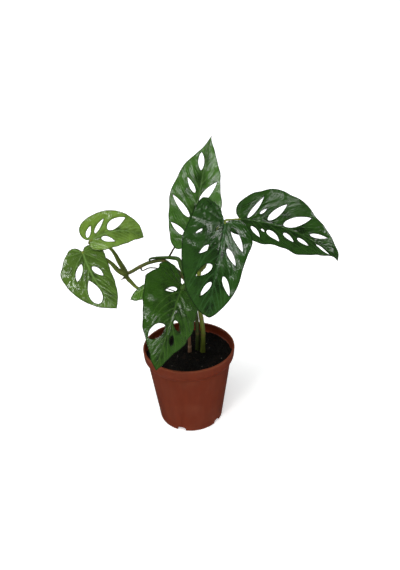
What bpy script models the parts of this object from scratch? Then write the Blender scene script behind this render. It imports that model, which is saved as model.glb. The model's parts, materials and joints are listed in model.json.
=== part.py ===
"""Potted monstera: a young perforated-leaf climber in a round nursery pot.

The frame has its origin at the centre of the pot's foot, +Z up. The plant is placed
from the middle of the soil's surface, so it follows the pot when the pot changes.
Lengths below are millimetres times MM, angles are degrees.
"""

import math

import bmesh
import bpy
from mathutils import Vector
from mathutils.geometry import delaunay_2d_cdt

MM = 0.001

# Fit between pieces that touch.
GAP = 0.35 * MM

# Pot: a thin turned wall with a straight collar, and a foot ring with notches.
POT_HEIGHT = 109 * MM
RIM_RADIUS = 60 * MM
BASE_RADIUS = 42.5 * MM
COLLAR_HEIGHT = 15 * MM
COLLAR_STEP = 3.6 * MM
COLLAR_TAPER = 0.9 * MM
POT_WALL = 1.6 * MM
LIP_WIDTH = 2.6 * MM
LIP_HEIGHT = 2.0 * MM
FLOOR_RISE = 7 * MM
FLOOR_THICKNESS = 1.6 * MM
FOOT_WIDTH = 3.0 * MM
BOSS_RADIUS = 18 * MM
BOSS_SLOPE = 5 * MM
POT_SEGMENTS = 48
NOTCH_COUNT = 5
NOTCH_WIDTH = 12 * MM
NOTCH_HEIGHT = 6 * MM
NOTCH_START = 252
DRAIN_COUNT = 5
DRAIN_RADIUS = 3.2 * MM

# Soil.
SOIL_BELOW_RIM = 10 * MM
SOIL_CROWN = 1.0 * MM
SOCKET_DEPTH = 14 * MM

# Blades and stems.
LEAF_THICKNESS = 1.0 * MM
LEAF_GRID = 10 * MM
STALK_SETBACK = 2.0 * MM
TUBE_SIDES = 8
TUBE_STEP = 7 * MM
ROOT_RADIUS = 0.75 * MM
MAIN_STEM_RADIUS = 3.2 * MM
RUNNER_RADIUS = 2.8 * MM
ROOTED_STEM_RADIUS = 2.3 * MM
STALK_RADIUS = 1.8 * MM

SOIL_TOP = POT_HEIGHT - SOIL_BELOW_RIM

# Colours are linear RGB.
TERRACOTTA = (0.16, 0.034, 0.016)
SOIL_BROWN = (0.010, 0.008, 0.007)
DARK_LEAF = (0.020, 0.075, 0.014)
MID_LEAF = (0.035, 0.115, 0.018)
PALE_LEAF = (0.090, 0.220, 0.030)
STEM_GREEN = (0.130, 0.180, 0.030)
STEM_DARK = (0.060, 0.090, 0.020)
STEM_BROWN = (0.240, 0.130, 0.070)

# Each leaf: base is the top of its stalk, from the middle of the soil's surface. heading is
# the compass angle of the midrib from +X, rise its climb, bend and swing how both change by
# the tip, roll and twist the blade's turn about the midrib, fold and cup the climb of each
# half beside the midrib and how much more it climbs by the edge. arrive is the angle at
# which the stalk meets the blade, 0 in line with it and 90 from straight below. An outline
# runs from the notch at the stalk to the tip as (along, out). A hole is (along, out,
# length, width, slant), out being negative on the left half, and slant leaning to the tip. Its
# sixth value is 1 if it is blunt near the midrib, -1 if blunt at the far end and 0 if at neither.
LEAVES = {
    "leaf_back": dict(
        base=(8, 5, 159), heading=68, rise=58, bend=-8, swing=0, roll=-15, twist=12,
        fold=28, cup=12, length=131, arrive=60, colour=DARK_LEAF,
        right=[(-9, 6), (-10, 12), (-4, 18), (9, 26), (22, 34), (37, 39),
               (58, 34), (83, 26), (101, 16), (115, 7), (123, 3)],
        left=[(-12, 6), (-16, 16), (-8, 26), (3, 30), (22, 34),
              (44, 37), (62, 33), (84, 26), (101, 15), (113, 7), (122, 3)],
        holes=[(95, -5.5, 22, 7.5, 80, 0), (63, -12, 20, 6, 50), (35, -20, 33, 8, 38), (8, -19, 23, 7, 27),
               (57, 14, 33, 12, 45), (30, 18, 24, 8, 40), (9, 12, 18, 7, 35)],
    ),
    "leaf_right": dict(
        base=(66, 5, 182), heading=-22, rise=2, bend=-44, swing=18, roll=-18, twist=-12,
        fold=8, cup=12, length=132, arrive=10, colour=DARK_LEAF,
        right=[(-7, 7), (-8, 20), (2, 33), (18, 42), (33, 45), (48, 41),
               (62, 39), (78, 38), (90, 29), (102, 18), (116, 8)],
        left=[(-6, 8), (-8, 18), (-5, 28), (5, 40), (18, 46), (34, 50),
              (50, 47), (67, 42), (85, 31), (103, 21), (117, 13), (128, 6)],
        holes=[(15, -20, 36, 6, 18), (25, -16, 11, 3.5, 33), (41, -19, 32, 9, 28), (66, -15, 36, 12, 49),
               (95, -9, 22, 5.5, 68), (105, 5, 20, 4, 84), (25, 22, 24, 6, 35), (32, 16, 7, 3, 40),
               (45, 21, 23, 9.5, 45), (62, 14, 17, 7.5, 52), (79, 11, 15, 7, 72)],
    ),
    "leaf_front": dict(
        base=(47, -35, 193), heading=-100, rise=-33, bend=-50, swing=-32, roll=27, twist=6,
        fold=14, cup=0, length=111, arrive=80, colour=DARK_LEAF,
        right=[(-11, 5), (-21, 12), (-26, 22), (-21, 31), (-8, 38), (13, 44), (35, 47), (50, 43),
               (65, 37), (80, 30), (92, 21), (104, 10)],
        left=[(-4, 5), (-6, 14), (-2, 23), (8, 30), (20, 33), (35, 30),
              (50, 28), (65, 27), (80, 23), (93, 16), (105, 7)],
        holes=[(18, -16, 31, 8, 59), (39, -13, 21, 6, 53), (71, -14, 22, 6, 61), (22, 30, 9, 2.4, 43),
               (11, 9, 7, 2.2, 68), (38, 19, 15, 5, 47), (59, 14, 21, 9, 43), (78, 8, 19, 6, 59)],
    ),
    "leaf_over_rim": dict(
        base=(-5, -25, 107), heading=-102, rise=-9, bend=-40, swing=-12, roll=51, twist=14,
        fold=0, cup=-14, length=111, arrive=-60, colour=MID_LEAF,
        right=[(-12, 6), (-22, 14), (-27, 23), (-23, 32), (-13, 38), (-2, 38), (9, 44), (20, 49),
               (38, 45), (56, 40), (73, 33), (86, 24), (99, 13)],
        left=[(-17, 6), (-24, 14), (-17, 25), (-1, 32), (14, 34), (27, 37), (42, 38), (61, 34), (78, 25),
              (94, 13)],
        holes=[(14, 13, 20, 6, 47), (71, 14, 27, 14, 53, 0), (52, -12, 16, 9, 32), (72, -10, 12, 6.5, 80, 0)],
    ),
    "leaf_small": dict(
        base=(-47, -15, 106), heading=-146, rise=-10, bend=-25, swing=0, roll=15, twist=0,
        fold=12, cup=-10, length=26, arrive=30, colour=PALE_LEAF,
        right=[(-2, 2), (-2, 4), (1, 5), (7, 5), (15, 4), (22, 2)],
        left=[(-3, 3), (-4, 7), (0, 12), (8, 16), (16, 14), (23, 8)],
        holes=[],
    ),
    "leaf_pale_upper": dict(
        base=(-109, -5, 165), heading=37, rise=18, bend=-62, swing=0, roll=-47, twist=-9,
        fold=18, cup=-5, length=77, arrive=90, colour=PALE_LEAF,
        right=[(-6, 4), (-7, 11), (-2, 17), (8, 21), (21, 22), (33, 21), (45, 18), (58, 12), (69, 6)],
        left=[(-6, 4), (-8, 11), (-5, 19), (4, 24), (17, 26), (30, 26), (42, 23), (54, 18), (66, 11), (73, 5)],
        holes=[(2, -10, 14, 5, 45), (15, -11, 19, 4.5, 51), (35, -10, 26, 11, 62), (18, 9, 17, 8, 53)],
    ),
    "leaf_pale_lower": dict(
        base=(-118, -20, 156), heading=-71, rise=-22, bend=-6, swing=28, roll=-9, twist=-6,
        fold=-10, cup=-19, length=90, arrive=70, colour=PALE_LEAF,
        right=[(-6, 3), (-11, 8), (-12, 14), (-6, 21), (4, 29), (15, 34),
               (28, 33), (44, 29), (60, 23), (74, 15), (84, 6)],
        left=[(-9, 4), (-12, 11), (-9, 19), (-1, 24), (14, 25),
              (30, 24), (45, 22), (60, 19), (74, 13), (84, 6)],
        holes=[(25, 12, 22, 8, 57, 0), (33, -8, 18, 8, 68, 0.3), (57, 8, 32, 14, 84, -0.8)],
    ),
}

# Stems that stand in the soil: their way from the middle of its surface, their radius there
# and what is left of it at the far end.
MAIN_STEM = dict(
    way=[(18, 0, 0), (19, 0, 33), (16, 1, 62), (15, 4, 95), (17, 5, 119)],
    radius=MAIN_STEM_RADIUS, taper=0.85, colour=STEM_GREEN,
)
RUNNER = dict(
    way=[
        (11, 5, 0), (12, 5, 37), (9, 7, 66), (4, 8, 87), (-4, 8, 107), (-16, 7, 121),
        (-27, 5, 131), (-43, 3, 130), (-55, 0, 126), (-67, -2, 120), (-73, -3, 118),
    ],
    radius=RUNNER_RADIUS, taper=0.75, colour=STEM_DARK,
)
ROOTED_STEM = dict(
    way=[(1, 0, 0), (1, 1, 23), (-1, 4, 53), (-5, 5, 82)],
    radius=ROOTED_STEM_RADIUS, taper=0.7, colour=STEM_BROWN,
)


def smooth_curve(points, steps):
    """A centripetal Catmull-Rom curve through the points, with this many steps between each two."""
    ends = [points[0] * 2 - points[1]] + points + [points[-1] * 2 - points[-2]]
    curve = []
    for before, start, end, after in zip(ends, ends[1:], ends[2:], ends[3:]):
        spans = ((before, start), (start, end), (end, after))
        first, middle, last = ((far - near).length ** 0.5 for near, far in spans)
        straight = end - start
        leave = straight + ((start - before) / first - (end - before) / (first + middle)) * middle
        arrive = straight + ((after - end) / last - (after - start) / (middle + last)) * middle
        for step in range(steps):
            t = step / steps
            curve.append(
                start * (2 * t**3 - 3 * t**2 + 1)
                + leave * (t**3 - 2 * t**2 + t)
                + end * (3 * t**2 - 2 * t**3)
                + arrive * (t**3 - t**2)
            )
    curve.append(points[-1])
    return curve


def material(name, colour, roughness):
    made = bpy.data.materials.new(name)
    made.use_nodes = True
    shader = made.node_tree.nodes["Principled BSDF"]
    shader.inputs["Base Color"].default_value = (*colour, 1)
    shader.inputs["Roughness"].default_value = roughness
    shader.inputs["Metallic"].default_value = 0.0
    made.diffuse_color = (*colour, 1)
    return made


def add_object(name, mesh_data, colour, roughness, smooth_angle):
    """Turns a bmesh into an object with its own material, round faces shaded smooth."""
    bmesh.ops.recalc_face_normals(mesh_data, faces=mesh_data.faces)
    mesh = bpy.data.meshes.new(name)
    mesh_data.to_mesh(mesh)
    mesh_data.free()
    mesh.shade_smooth()
    mesh.set_sharp_from_angle(angle=math.radians(smooth_angle))
    mesh.materials.append(material(name + "_material", colour, roughness))
    made = bpy.data.objects.new(name, mesh)
    bpy.context.scene.collection.objects.link(made)
    return made


def turned(profile, segments):
    """A closed solid of revolution. The profile runs from the axis out and back to the axis."""
    data = bmesh.new()
    rings = []
    for radius, height in profile:
        if radius == 0:
            rings.append([data.verts.new((0, 0, height))])
            continue
        angles = [2 * math.pi * step / segments for step in range(segments)]
        rings.append([data.verts.new((radius * math.cos(a), radius * math.sin(a), height)) for a in angles])
    for lower, upper in zip(rings, rings[1:]):
        for step in range(segments):
            following = (step + 1) % segments
            if len(lower) == 1:
                data.faces.new((lower[0], upper[step], upper[following]))
            elif len(upper) == 1:
                data.faces.new((lower[step], lower[following], upper[0]))
            else:
                data.faces.new((lower[step], lower[following], upper[following], upper[step]))
    return data


def cut(target, data, name):
    """Takes the shape in the bmesh away from the target."""
    bmesh.ops.recalc_face_normals(data, faces=data.faces)
    mesh = bpy.data.meshes.new(name)
    data.to_mesh(mesh)
    data.free()
    cutter = bpy.data.objects.new(name, mesh)
    cutter.hide_render = True
    cutter.display_type = "WIRE"
    bpy.context.scene.collection.objects.link(cutter)
    boolean = target.modifiers.new(name, "BOOLEAN")
    boolean.operation = "DIFFERENCE"
    boolean.object = cutter


def upright_cylinder(data, x, y, radius, bottom, top, sides):
    rings = []
    for height in (bottom, top):
        angles = [2 * math.pi * step / sides for step in range(sides)]
        places = [(x + radius * math.cos(a), y + radius * math.sin(a), height) for a in angles]
        rings.append([data.verts.new(place) for place in places])
    for step in range(sides):
        following = (step + 1) % sides
        data.faces.new((rings[0][step], rings[0][following], rings[1][following], rings[1][step]))
    data.faces.new(rings[0][::-1])
    data.faces.new(rings[1])


def body_radius(height):
    """Outer radius of the pot's tapered wall at a height above the foot."""
    top = POT_HEIGHT - COLLAR_HEIGHT
    shoulder = RIM_RADIUS - COLLAR_TAPER - COLLAR_STEP
    return BASE_RADIUS + (shoulder - BASE_RADIUS) * height / top


def pot_inside():
    """The inner face of the pot, from the middle of its floor up to under its lip."""
    floor = FLOOR_RISE + FLOOR_THICKNESS
    shoulder = POT_HEIGHT - COLLAR_HEIGHT
    return [
        (0, FLOOR_THICKNESS),
        (BOSS_RADIUS - POT_WALL, FLOOR_THICKNESS),
        (BOSS_RADIUS + BOSS_SLOPE - POT_WALL, floor),
        (body_radius(floor) - POT_WALL, floor),
        (body_radius(shoulder) - POT_WALL, shoulder + POT_WALL),
        (RIM_RADIUS - COLLAR_TAPER - POT_WALL, shoulder + COLLAR_STEP),
        (RIM_RADIUS - POT_WALL, POT_HEIGHT - LIP_HEIGHT - (LIP_WIDTH - POT_WALL)),
    ]


def build_pot():
    shoulder = POT_HEIGHT - COLLAR_HEIGHT
    foot_inner = BASE_RADIUS - FOOT_WIDTH
    lip_round = LIP_HEIGHT / 4
    outside = [
        (0, 0),
        (BOSS_RADIUS, 0),
        (BOSS_RADIUS + BOSS_SLOPE, FLOOR_RISE),
        (foot_inner, FLOOR_RISE),
        (foot_inner, 0),
        (BASE_RADIUS, 0),
        (body_radius(shoulder), shoulder),
        (RIM_RADIUS - COLLAR_TAPER, shoulder),
        (RIM_RADIUS, POT_HEIGHT - LIP_HEIGHT),
        (RIM_RADIUS, POT_HEIGHT - lip_round),
        (RIM_RADIUS - lip_round, POT_HEIGHT),
        (RIM_RADIUS - LIP_WIDTH + lip_round, POT_HEIGHT),
        (RIM_RADIUS - LIP_WIDTH, POT_HEIGHT - lip_round),
        (RIM_RADIUS - LIP_WIDTH, POT_HEIGHT - LIP_HEIGHT),
    ]
    data = turned(outside + pot_inside()[::-1], POT_SEGMENTS)
    pot = add_object("pot", data, TERRACOTTA, 0.42, 35)

    notches = bmesh.new()
    reach = BASE_RADIUS + 2 * NOTCH_HEIGHT
    inward = BASE_RADIUS - 2 * FOOT_WIDTH
    for index in range(NOTCH_COUNT):
        angle = math.radians(NOTCH_START + 360 * index / NOTCH_COUNT)
        out = Vector((math.cos(angle), math.sin(angle), 0))
        side = Vector((-out.y, out.x, 0))
        half = NOTCH_WIDTH / 2
        section = [(-half, -MM), (half, -MM), (half * 0.8, NOTCH_HEIGHT * 0.7), (half * 0.45, NOTCH_HEIGHT)]
        section += [(-half * 0.45, NOTCH_HEIGHT), (-half * 0.8, NOTCH_HEIGHT * 0.7)]
        rings = []
        for distance in (inward, reach):
            place = out * distance
            corners = [place + side * across + Vector((0, 0, up)) for across, up in section]
            rings.append([notches.verts.new(corner) for corner in corners])
        count = len(section)
        for step in range(count):
            following = (step + 1) % count
            notches.faces.new((rings[0][step], rings[0][following], rings[1][following], rings[1][step]))
        notches.faces.new(rings[0])
        notches.faces.new(rings[1][::-1])
    cut(pot, notches, "notch_cutter")

    drains = bmesh.new()
    middle = (BOSS_RADIUS + BOSS_SLOPE + BASE_RADIUS - FOOT_WIDTH) / 2
    for index in range(DRAIN_COUNT):
        angle = math.radians(NOTCH_START + 360 * (index + 0.5) / DRAIN_COUNT)
        top = FLOOR_RISE + 2 * FLOOR_THICKNESS
        upright_cylinder(
            drains, middle * math.cos(angle), middle * math.sin(angle), DRAIN_RADIUS, FLOOR_RISE / 2, top, 12
        )
    cut(pot, drains, "drain_cutter")


def build_soil():
    profile = [(max(radius - GAP, 0), height + GAP) for radius, height in pot_inside()[:-1]]
    lower, upper = pot_inside()[-2:]
    climb = (SOIL_TOP - lower[1]) / (upper[1] - lower[1])
    edge_radius = lower[0] + (upper[0] - lower[0]) * climb - GAP
    profile.append((edge_radius, SOIL_TOP - SOIL_CROWN))
    profile += [(edge_radius * 0.6, SOIL_TOP - SOIL_CROWN * 0.3), (0, SOIL_TOP)]
    soil = add_object("soil", turned(profile, POT_SEGMENTS), SOIL_BROWN, 0.9, 60)
    sockets = bmesh.new()
    for stem in (MAIN_STEM, RUNNER, ROOTED_STEM):
        x, y = stem["way"][0][0] * MM, stem["way"][0][1] * MM
        bottom = SOIL_TOP - SOCKET_DEPTH - GAP
        upright_cylinder(sockets, x, y, stem["radius"] + GAP, bottom, SOIL_TOP + SOCKET_DEPTH, 2 * TUBE_SIDES)
    cut(soil, sockets, "socket_cutter")


def blade_frame(leaf, fraction):
    """The blade's directions at this fraction of the midrib: along it, to its right, and up."""
    part = min(max(fraction, 0), 1)
    heading = math.radians(leaf["heading"] + leaf["swing"] * part)
    rise = math.radians(leaf["rise"] + leaf["bend"] * part)
    roll = math.radians(leaf["roll"] + leaf["twist"] * part)
    along = Vector((math.cos(rise) * math.cos(heading), math.cos(rise) * math.sin(heading), math.sin(rise)))
    level = Vector((math.sin(heading), -math.cos(heading), 0))
    above = level.cross(along)
    right = level * math.cos(roll) + above * math.sin(roll)
    return along, right, right.cross(along)


def midrib_point(leaf, fraction):
    """The midrib starts at the base and bends evenly. Behind the base it runs straight on."""
    base = Vector(leaf["base"]) * MM + Vector((0, 0, SOIL_TOP))
    length = leaf["length"] * MM
    if fraction <= 0:
        return base + blade_frame(leaf, 0)[0] * fraction * length
    pieces = 24
    step = fraction / pieces
    place = base
    for index in range(pieces):
        place = place + blade_frame(leaf, (index + 0.5) * step)[0] * step * length
    return place


def blade_point(leaf, along, out, lift):
    """A point of the blade, from millimetres along the midrib and out from it, and a lift off it."""
    fraction = along / leaf["length"]
    _, right, above = blade_frame(leaf, fraction)
    widest = max(width for _, width in leaf["right"] + leaf["left"])
    turn = math.radians(leaf["cup"]) / widest
    start = math.radians(leaf["fold"])
    distance = abs(out)
    end = start + turn * distance
    if abs(turn) < 1e-9:
        across, climb = distance * math.cos(start), distance * math.sin(start)
    else:
        across = (math.sin(end) - math.sin(start)) / turn
        climb = (math.cos(start) - math.cos(end)) / turn
    side = math.copysign(1, out) if out else 0
    surface = midrib_point(leaf, fraction) + (right * side * across + above * climb) * MM
    normal = above * math.cos(end) - right * side * math.sin(end) if side else above
    return surface + normal * lift


def outline(leaf):
    """The blade's edge, once round from the notch over the right half to the tip and back."""
    notch, tip = Vector((0, 0)), Vector((leaf["length"], 0))
    steps = 2 if leaf["length"] > 50 else 1
    right = smooth_curve([notch] + [Vector(point) for point in leaf["right"]] + [tip], steps)
    left = smooth_curve([notch] + [Vector((along, -out)) for along, out in leaf["left"]] + [tip], steps)
    return right + left[-2:0:-1]


def hole_edge(hole, count=10):
    """A drop shape, blunt near the midrib and pointed at its far end unless its sixth value says otherwise."""
    along, out, length, width, slant, *rest = hole
    blunt = rest[0] if rest else 0.7
    near, far = 0.75 - 0.25 * blunt, 0.75 + 0.25 * blunt
    peak = -blunt / 3
    widest = (1 + peak) ** near * (1 - peak) ** far
    side = math.copysign(1, out)
    reach = Vector((math.sin(math.radians(slant)), side * math.cos(math.radians(slant))))
    beside = Vector((reach.y, -reach.x))
    edge = []
    for index in range(count):
        turn = 2 * math.pi * index / count
        place = -math.cos(turn)
        fullness = max(0, 1 + place) ** near * max(0, 1 - place) ** far / widest
        fullness = math.copysign(fullness, math.sin(turn))
        edge.append(Vector((along, out)) + reach * place * length / 2 + beside * fullness * width / 2)
    return edge


def inside(point, loop):
    """Whether the point lies inside the loop, by counting crossings."""
    hit = False
    for start, end in zip(loop, loop[1:] + loop[:1]):
        if (start.y > point.y) != (end.y > point.y):
            crossing = start.x + (point.y - start.y) / (end.y - start.y) * (end.x - start.x)
            hit = hit != (point.x < crossing)
    return hit


def blade_layout(leaf):
    """Flat points and triangles of the blade: its edge, its holes, the midrib and a loose grid."""
    edge = outline(leaf)
    holes = [hole_edge(hole) for hole in leaf["holes"]]
    points, segments = [], []
    for loop in [edge] + holes:
        first = len(points)
        points += loop
        count = len(loop)
        segments += [(first + step, first + (step + 1) % count) for step in range(count)]
    grid = LEAF_GRID / MM
    clear = grid * 0.45
    lines = int(leaf["length"] / grid) + 4
    for row in range(-3, lines):
        for column in range(-6, 7):
            place = Vector(((row + 0.5 * (column % 2)) * grid, column * grid))
            if not inside(place, edge) or any(inside(place, hole) for hole in holes):
                continue
            if min((place - other).length for other in points) > clear:
                points.append(place)
    made, _, faces, _, _, _ = delaunay_2d_cdt(points, segments, [], 0, 1e-6)
    kept = []
    for face in faces:
        middle = sum((made[index] for index in face), Vector((0, 0))) / 3
        if inside(middle, edge) and not any(inside(middle, hole) for hole in holes):
            kept.append(face)
    return made, kept


def build_leaf(name, leaf):
    points, faces = blade_layout(leaf)
    data = bmesh.new()
    half = LEAF_THICKNESS / 2
    upper = [data.verts.new(blade_point(leaf, point.x, point.y, half)) for point in points]
    lower = [data.verts.new(blade_point(leaf, point.x, point.y, -half)) for point in points]
    used = {}
    for face in faces:
        data.faces.new([upper[index] for index in face])
        data.faces.new([lower[index] for index in reversed(face)])
        for start, end in zip(face, face[1:] + face[:1]):
            used[(start, end)] = True
    for start, end in used:
        if (end, start) not in used:
            data.faces.new((upper[end], upper[start], lower[start], lower[end]))
    bmesh.ops.delete(data, geom=[vert for vert in data.verts if not vert.link_faces], context="VERTS")
    add_object(name, data, leaf["colour"], 0.35, 50)


def build_tube(name, way, radii, colour):
    """A tapered tube of round section along a smooth curve through the points, capped at both ends."""
    length = sum((end - start).length for start, end in zip(way, way[1:]))
    steps = max(1, round(length / TUBE_STEP / (len(way) - 1)))
    path = smooth_curve(way, steps)
    data = bmesh.new()
    across = None
    rings = []
    for index, place in enumerate(path):
        ahead = path[min(index + 1, len(path) - 1)]
        behind = path[max(index - 1, 0)]
        direction = (ahead - behind).normalized()
        if across is None:
            across = direction.orthogonal().normalized()
        across = (across - direction * across.dot(direction)).normalized()
        beside = direction.cross(across)
        fraction = index / (len(path) - 1)
        radius = radii[0] + (radii[1] - radii[0]) * fraction
        ring = []
        for step in range(TUBE_SIDES):
            turn = 2 * math.pi * step / TUBE_SIDES
            ring.append(data.verts.new(place + (across * math.cos(turn) + beside * math.sin(turn)) * radius))
        rings.append(ring)
    for lower, upper in zip(rings, rings[1:]):
        for step in range(TUBE_SIDES):
            following = (step + 1) % TUBE_SIDES
            data.faces.new((lower[step], lower[following], upper[following], upper[step]))
    data.faces.new(rings[0][::-1])
    data.faces.new(rings[-1])
    add_object(name, data, colour, 0.5, 60)


def from_soil(way):
    """Points given from the middle of the soil's surface, in the pot's frame."""
    return [Vector(point) * MM + Vector((0, 0, SOIL_TOP)) for point in way]


def planted(way):
    """A stem's way with its foot in its socket in the soil."""
    placed = from_soil(way)
    foot = placed[0] - Vector((0, 0, SOCKET_DEPTH))
    return [foot, foot.lerp(placed[0], 0.5)] + placed


def beside(stem, index, outward, cap=0):
    """Two points that lead straight out of a stem's side, from just clear of it.

    cap is the radius of a thick piece's end, which needs more room where the stem bends.
    """
    way = from_soil(stem["way"])
    direction = (way[index] - way[index - 1]).normalized()
    out = Vector(outward)
    out = (out - direction * out.dot(direction)).normalized()
    radius = stem["radius"] * (1 + (stem["taper"] - 1) * index / (len(way) - 1))
    first = way[index] + out * (radius + 1.5 * GAP + cap / 3)
    return [first, first + out * 2.5 * MM]


def alongside(stem, place, outward):
    """A point of a stalk that lies along a stem. place counts the stem's own points."""
    way = from_soil(stem["way"])
    steps = 10
    fine = smooth_curve(way, steps)
    index = round(place * steps)
    direction = (fine[index + 1] - fine[index - 1]).normalized()
    out = Vector(outward)
    out = (out - direction * out.dot(direction)).normalized()
    radius = stem["radius"] * (1 + (stem["taper"] - 1) * place / (len(way) - 1))
    return fine[index] + out * (radius + STALK_RADIUS + 2 * GAP)


def stalk_end(leaf):
    """The last two points of a leaf's stalk, ending a gap short of the blade at its notch."""
    along, _, above = blade_frame(leaf, 0)
    arrive = math.radians(leaf["arrive"])
    direction = along * math.cos(arrive) + above * math.sin(arrive)
    droop = max(0, -math.sin(math.radians(leaf["fold"]))) * STALK_RADIUS
    lean = abs(math.sin(2 * arrive)) / 2 * STALK_RADIUS
    offset = math.copysign(LEAF_THICKNESS / 2 + GAP + droop + lean, leaf["arrive"])
    base = Vector(leaf["base"]) * MM + Vector((0, 0, SOIL_TOP))
    end = base - along * STALK_SETBACK - above * offset
    return [end - direction * 8 * MM, end - direction * 3 * MM, end]


def build_stems():
    for name, stem in (("main_stem", MAIN_STEM), ("runner", RUNNER), ("rooted_stem", ROOTED_STEM)):
        way = planted(stem["way"])
        if name == "rooted_stem":
            way += beside(RUNNER, 4, (-1, -0.3, -0.4), stem["radius"] * stem["taper"])[::-1]
        build_tube(name, way, (stem["radius"], stem["radius"] * stem["taper"]), stem["colour"])


def build_stalks():
    """Leaf stalks: where each leaves its stem, the way between, and the leaf that it carries."""
    over_runner = beside(RUNNER, 7, (0, -0.3, 1))
    over_runner += [alongside(RUNNER, 6.5, (0, -0.3, 1)), alongside(RUNNER, 6, (0, -0.3, 1))]
    stalks = [
        ("stalk_back", beside(MAIN_STEM, 4, (-1, 0.4, 0.2)), [(10, 12, 137)], "leaf_back"),
        ("stalk_right", beside(MAIN_STEM, 4, (1, 0.5, 0.3)),
         [(29, 10, 140), (38, 9, 166), (50, 7, 180)], "leaf_right"),
        ("stalk_front", beside(MAIN_STEM, 4, (0.4, -1, 0.3)), [(23, -14, 137), (33, -26, 162)], "leaf_front"),
        ("stalk_over_rim", over_runner, [(-16, -1, 137), (-8, -4, 136), (-4, -10, 127)], "leaf_over_rim"),
        ("stalk_pale_upper", beside(RUNNER, 10, (0, 0.7, 1)),
         [(-80, 2, 132), (-86, 2, 146), (-92, 2, 153), (-103, 4, 158)], "leaf_pale_upper"),
        ("stalk_pale_lower", beside(RUNNER, 10, (-0.6, -1, 0.2)),
         [(-81, -7, 125), (-88, -8, 135), (-97, -9, 143), (-112, -9, 147)], "leaf_pale_lower"),
        ("stalk_small", beside(RUNNER, 10, (0.6, -0.6, -1)), [(-67, -7, 109), (-58, -11, 102)], "leaf_small"),
    ]
    for name, start, way, leaf_name in stalks:
        end = stalk_end(LEAVES[leaf_name])
        build_tube(name, start + from_soil(way) + end, (STALK_RADIUS, STALK_RADIUS * 0.7), STEM_GREEN)


def build_roots():
    """Slender aerial roots along the runner."""
    roots = [
        ("aerial_root_short", beside(RUNNER, 10, (-1, 0.4, -1)), [(-79, -2, 110)]),
        ("aerial_root_low", beside(RUNNER, 8, (0.3, -0.3, -1)),
         [(-43, 0, 124), (-31, 0, 121), (-27, 1, 108), (-25, 2, 95), (-12, 4, 86), (-9, 2, 60), (-12, -2, 30),
          (-14, -4, 2)]),
        ("aerial_root_high", beside(RUNNER, 6, (0, 1, 0.3)),
         [(-22, 9, 132), (-17, 8, 139), (-14, 9, 144), (-8, 12, 149), (4, 14, 148)]),
    ]
    for name, start, way in roots:
        build_tube(name, start + from_soil(way), (ROOT_RADIUS, ROOT_RADIUS * 0.8), STEM_BROWN)


def main():
    for existing in list(bpy.data.objects):
        bpy.data.objects.remove(existing, do_unlink=True)
    build_pot()
    build_soil()
    build_stems()
    for name, leaf in LEAVES.items():
        build_leaf(name, leaf)
    build_stalks()
    build_roots()


main()
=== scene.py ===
"""Potted monstera: the finished surfaces of a young climbing plant in its nursery pot.

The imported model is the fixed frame. This file adds the pot's shell, the soil and its
grains, the stems, stalks, roots and leaves round it, in metres, +Z up. Sizes of the
plant are millimetres times MM and angles are degrees.
"""

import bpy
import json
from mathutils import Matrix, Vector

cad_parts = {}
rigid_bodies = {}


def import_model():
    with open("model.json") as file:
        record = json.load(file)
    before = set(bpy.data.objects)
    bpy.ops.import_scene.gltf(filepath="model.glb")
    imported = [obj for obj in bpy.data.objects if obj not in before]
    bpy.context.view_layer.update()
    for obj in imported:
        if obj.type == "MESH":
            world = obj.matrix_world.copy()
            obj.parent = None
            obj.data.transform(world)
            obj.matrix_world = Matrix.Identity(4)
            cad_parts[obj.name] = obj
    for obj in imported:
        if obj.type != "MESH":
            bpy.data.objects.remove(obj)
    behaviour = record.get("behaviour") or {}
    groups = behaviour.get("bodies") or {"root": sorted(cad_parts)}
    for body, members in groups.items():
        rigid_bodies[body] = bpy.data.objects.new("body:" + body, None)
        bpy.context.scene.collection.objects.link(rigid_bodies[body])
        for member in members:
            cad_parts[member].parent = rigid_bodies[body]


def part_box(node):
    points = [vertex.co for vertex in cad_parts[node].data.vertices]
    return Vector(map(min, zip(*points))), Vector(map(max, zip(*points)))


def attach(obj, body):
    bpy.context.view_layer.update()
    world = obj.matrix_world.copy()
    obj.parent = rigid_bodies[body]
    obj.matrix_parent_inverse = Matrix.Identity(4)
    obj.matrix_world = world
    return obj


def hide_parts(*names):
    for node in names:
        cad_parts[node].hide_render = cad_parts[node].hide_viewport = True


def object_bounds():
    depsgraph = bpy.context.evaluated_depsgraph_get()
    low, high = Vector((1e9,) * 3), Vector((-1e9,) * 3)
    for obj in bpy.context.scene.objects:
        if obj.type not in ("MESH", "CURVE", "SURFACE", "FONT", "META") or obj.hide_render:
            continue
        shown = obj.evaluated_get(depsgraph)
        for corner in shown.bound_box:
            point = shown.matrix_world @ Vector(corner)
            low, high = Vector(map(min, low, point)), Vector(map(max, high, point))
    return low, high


bl_info = {
    "name": "Potted Monstera",
    "version": (1, 0, 0),
    "blender": (4, 5, 0),
    "location": "3D View > Sidebar > Monstera",
    "description": "Builds a potted monstera: its pot, soil, stems, leaves and studio",
    "category": "Object",
}

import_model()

import json
import math

import bmesh
import bpy
import numpy as np
from bpy.props import FloatProperty, FloatVectorProperty, IntProperty, PointerProperty
from mathutils import Matrix, Vector, kdtree, noise
from mathutils.geometry import delaunay_2d_cdt

MM = 0.001
BODY = "root"
CAD_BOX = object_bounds()
POT_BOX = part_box("pot")
SOIL_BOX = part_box("soil")
RIM_RADIUS = POT_BOX[1].x
POT_HEIGHT = POT_BOX[1].z
SOIL_TOP = SOIL_BOX[1].z

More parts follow.
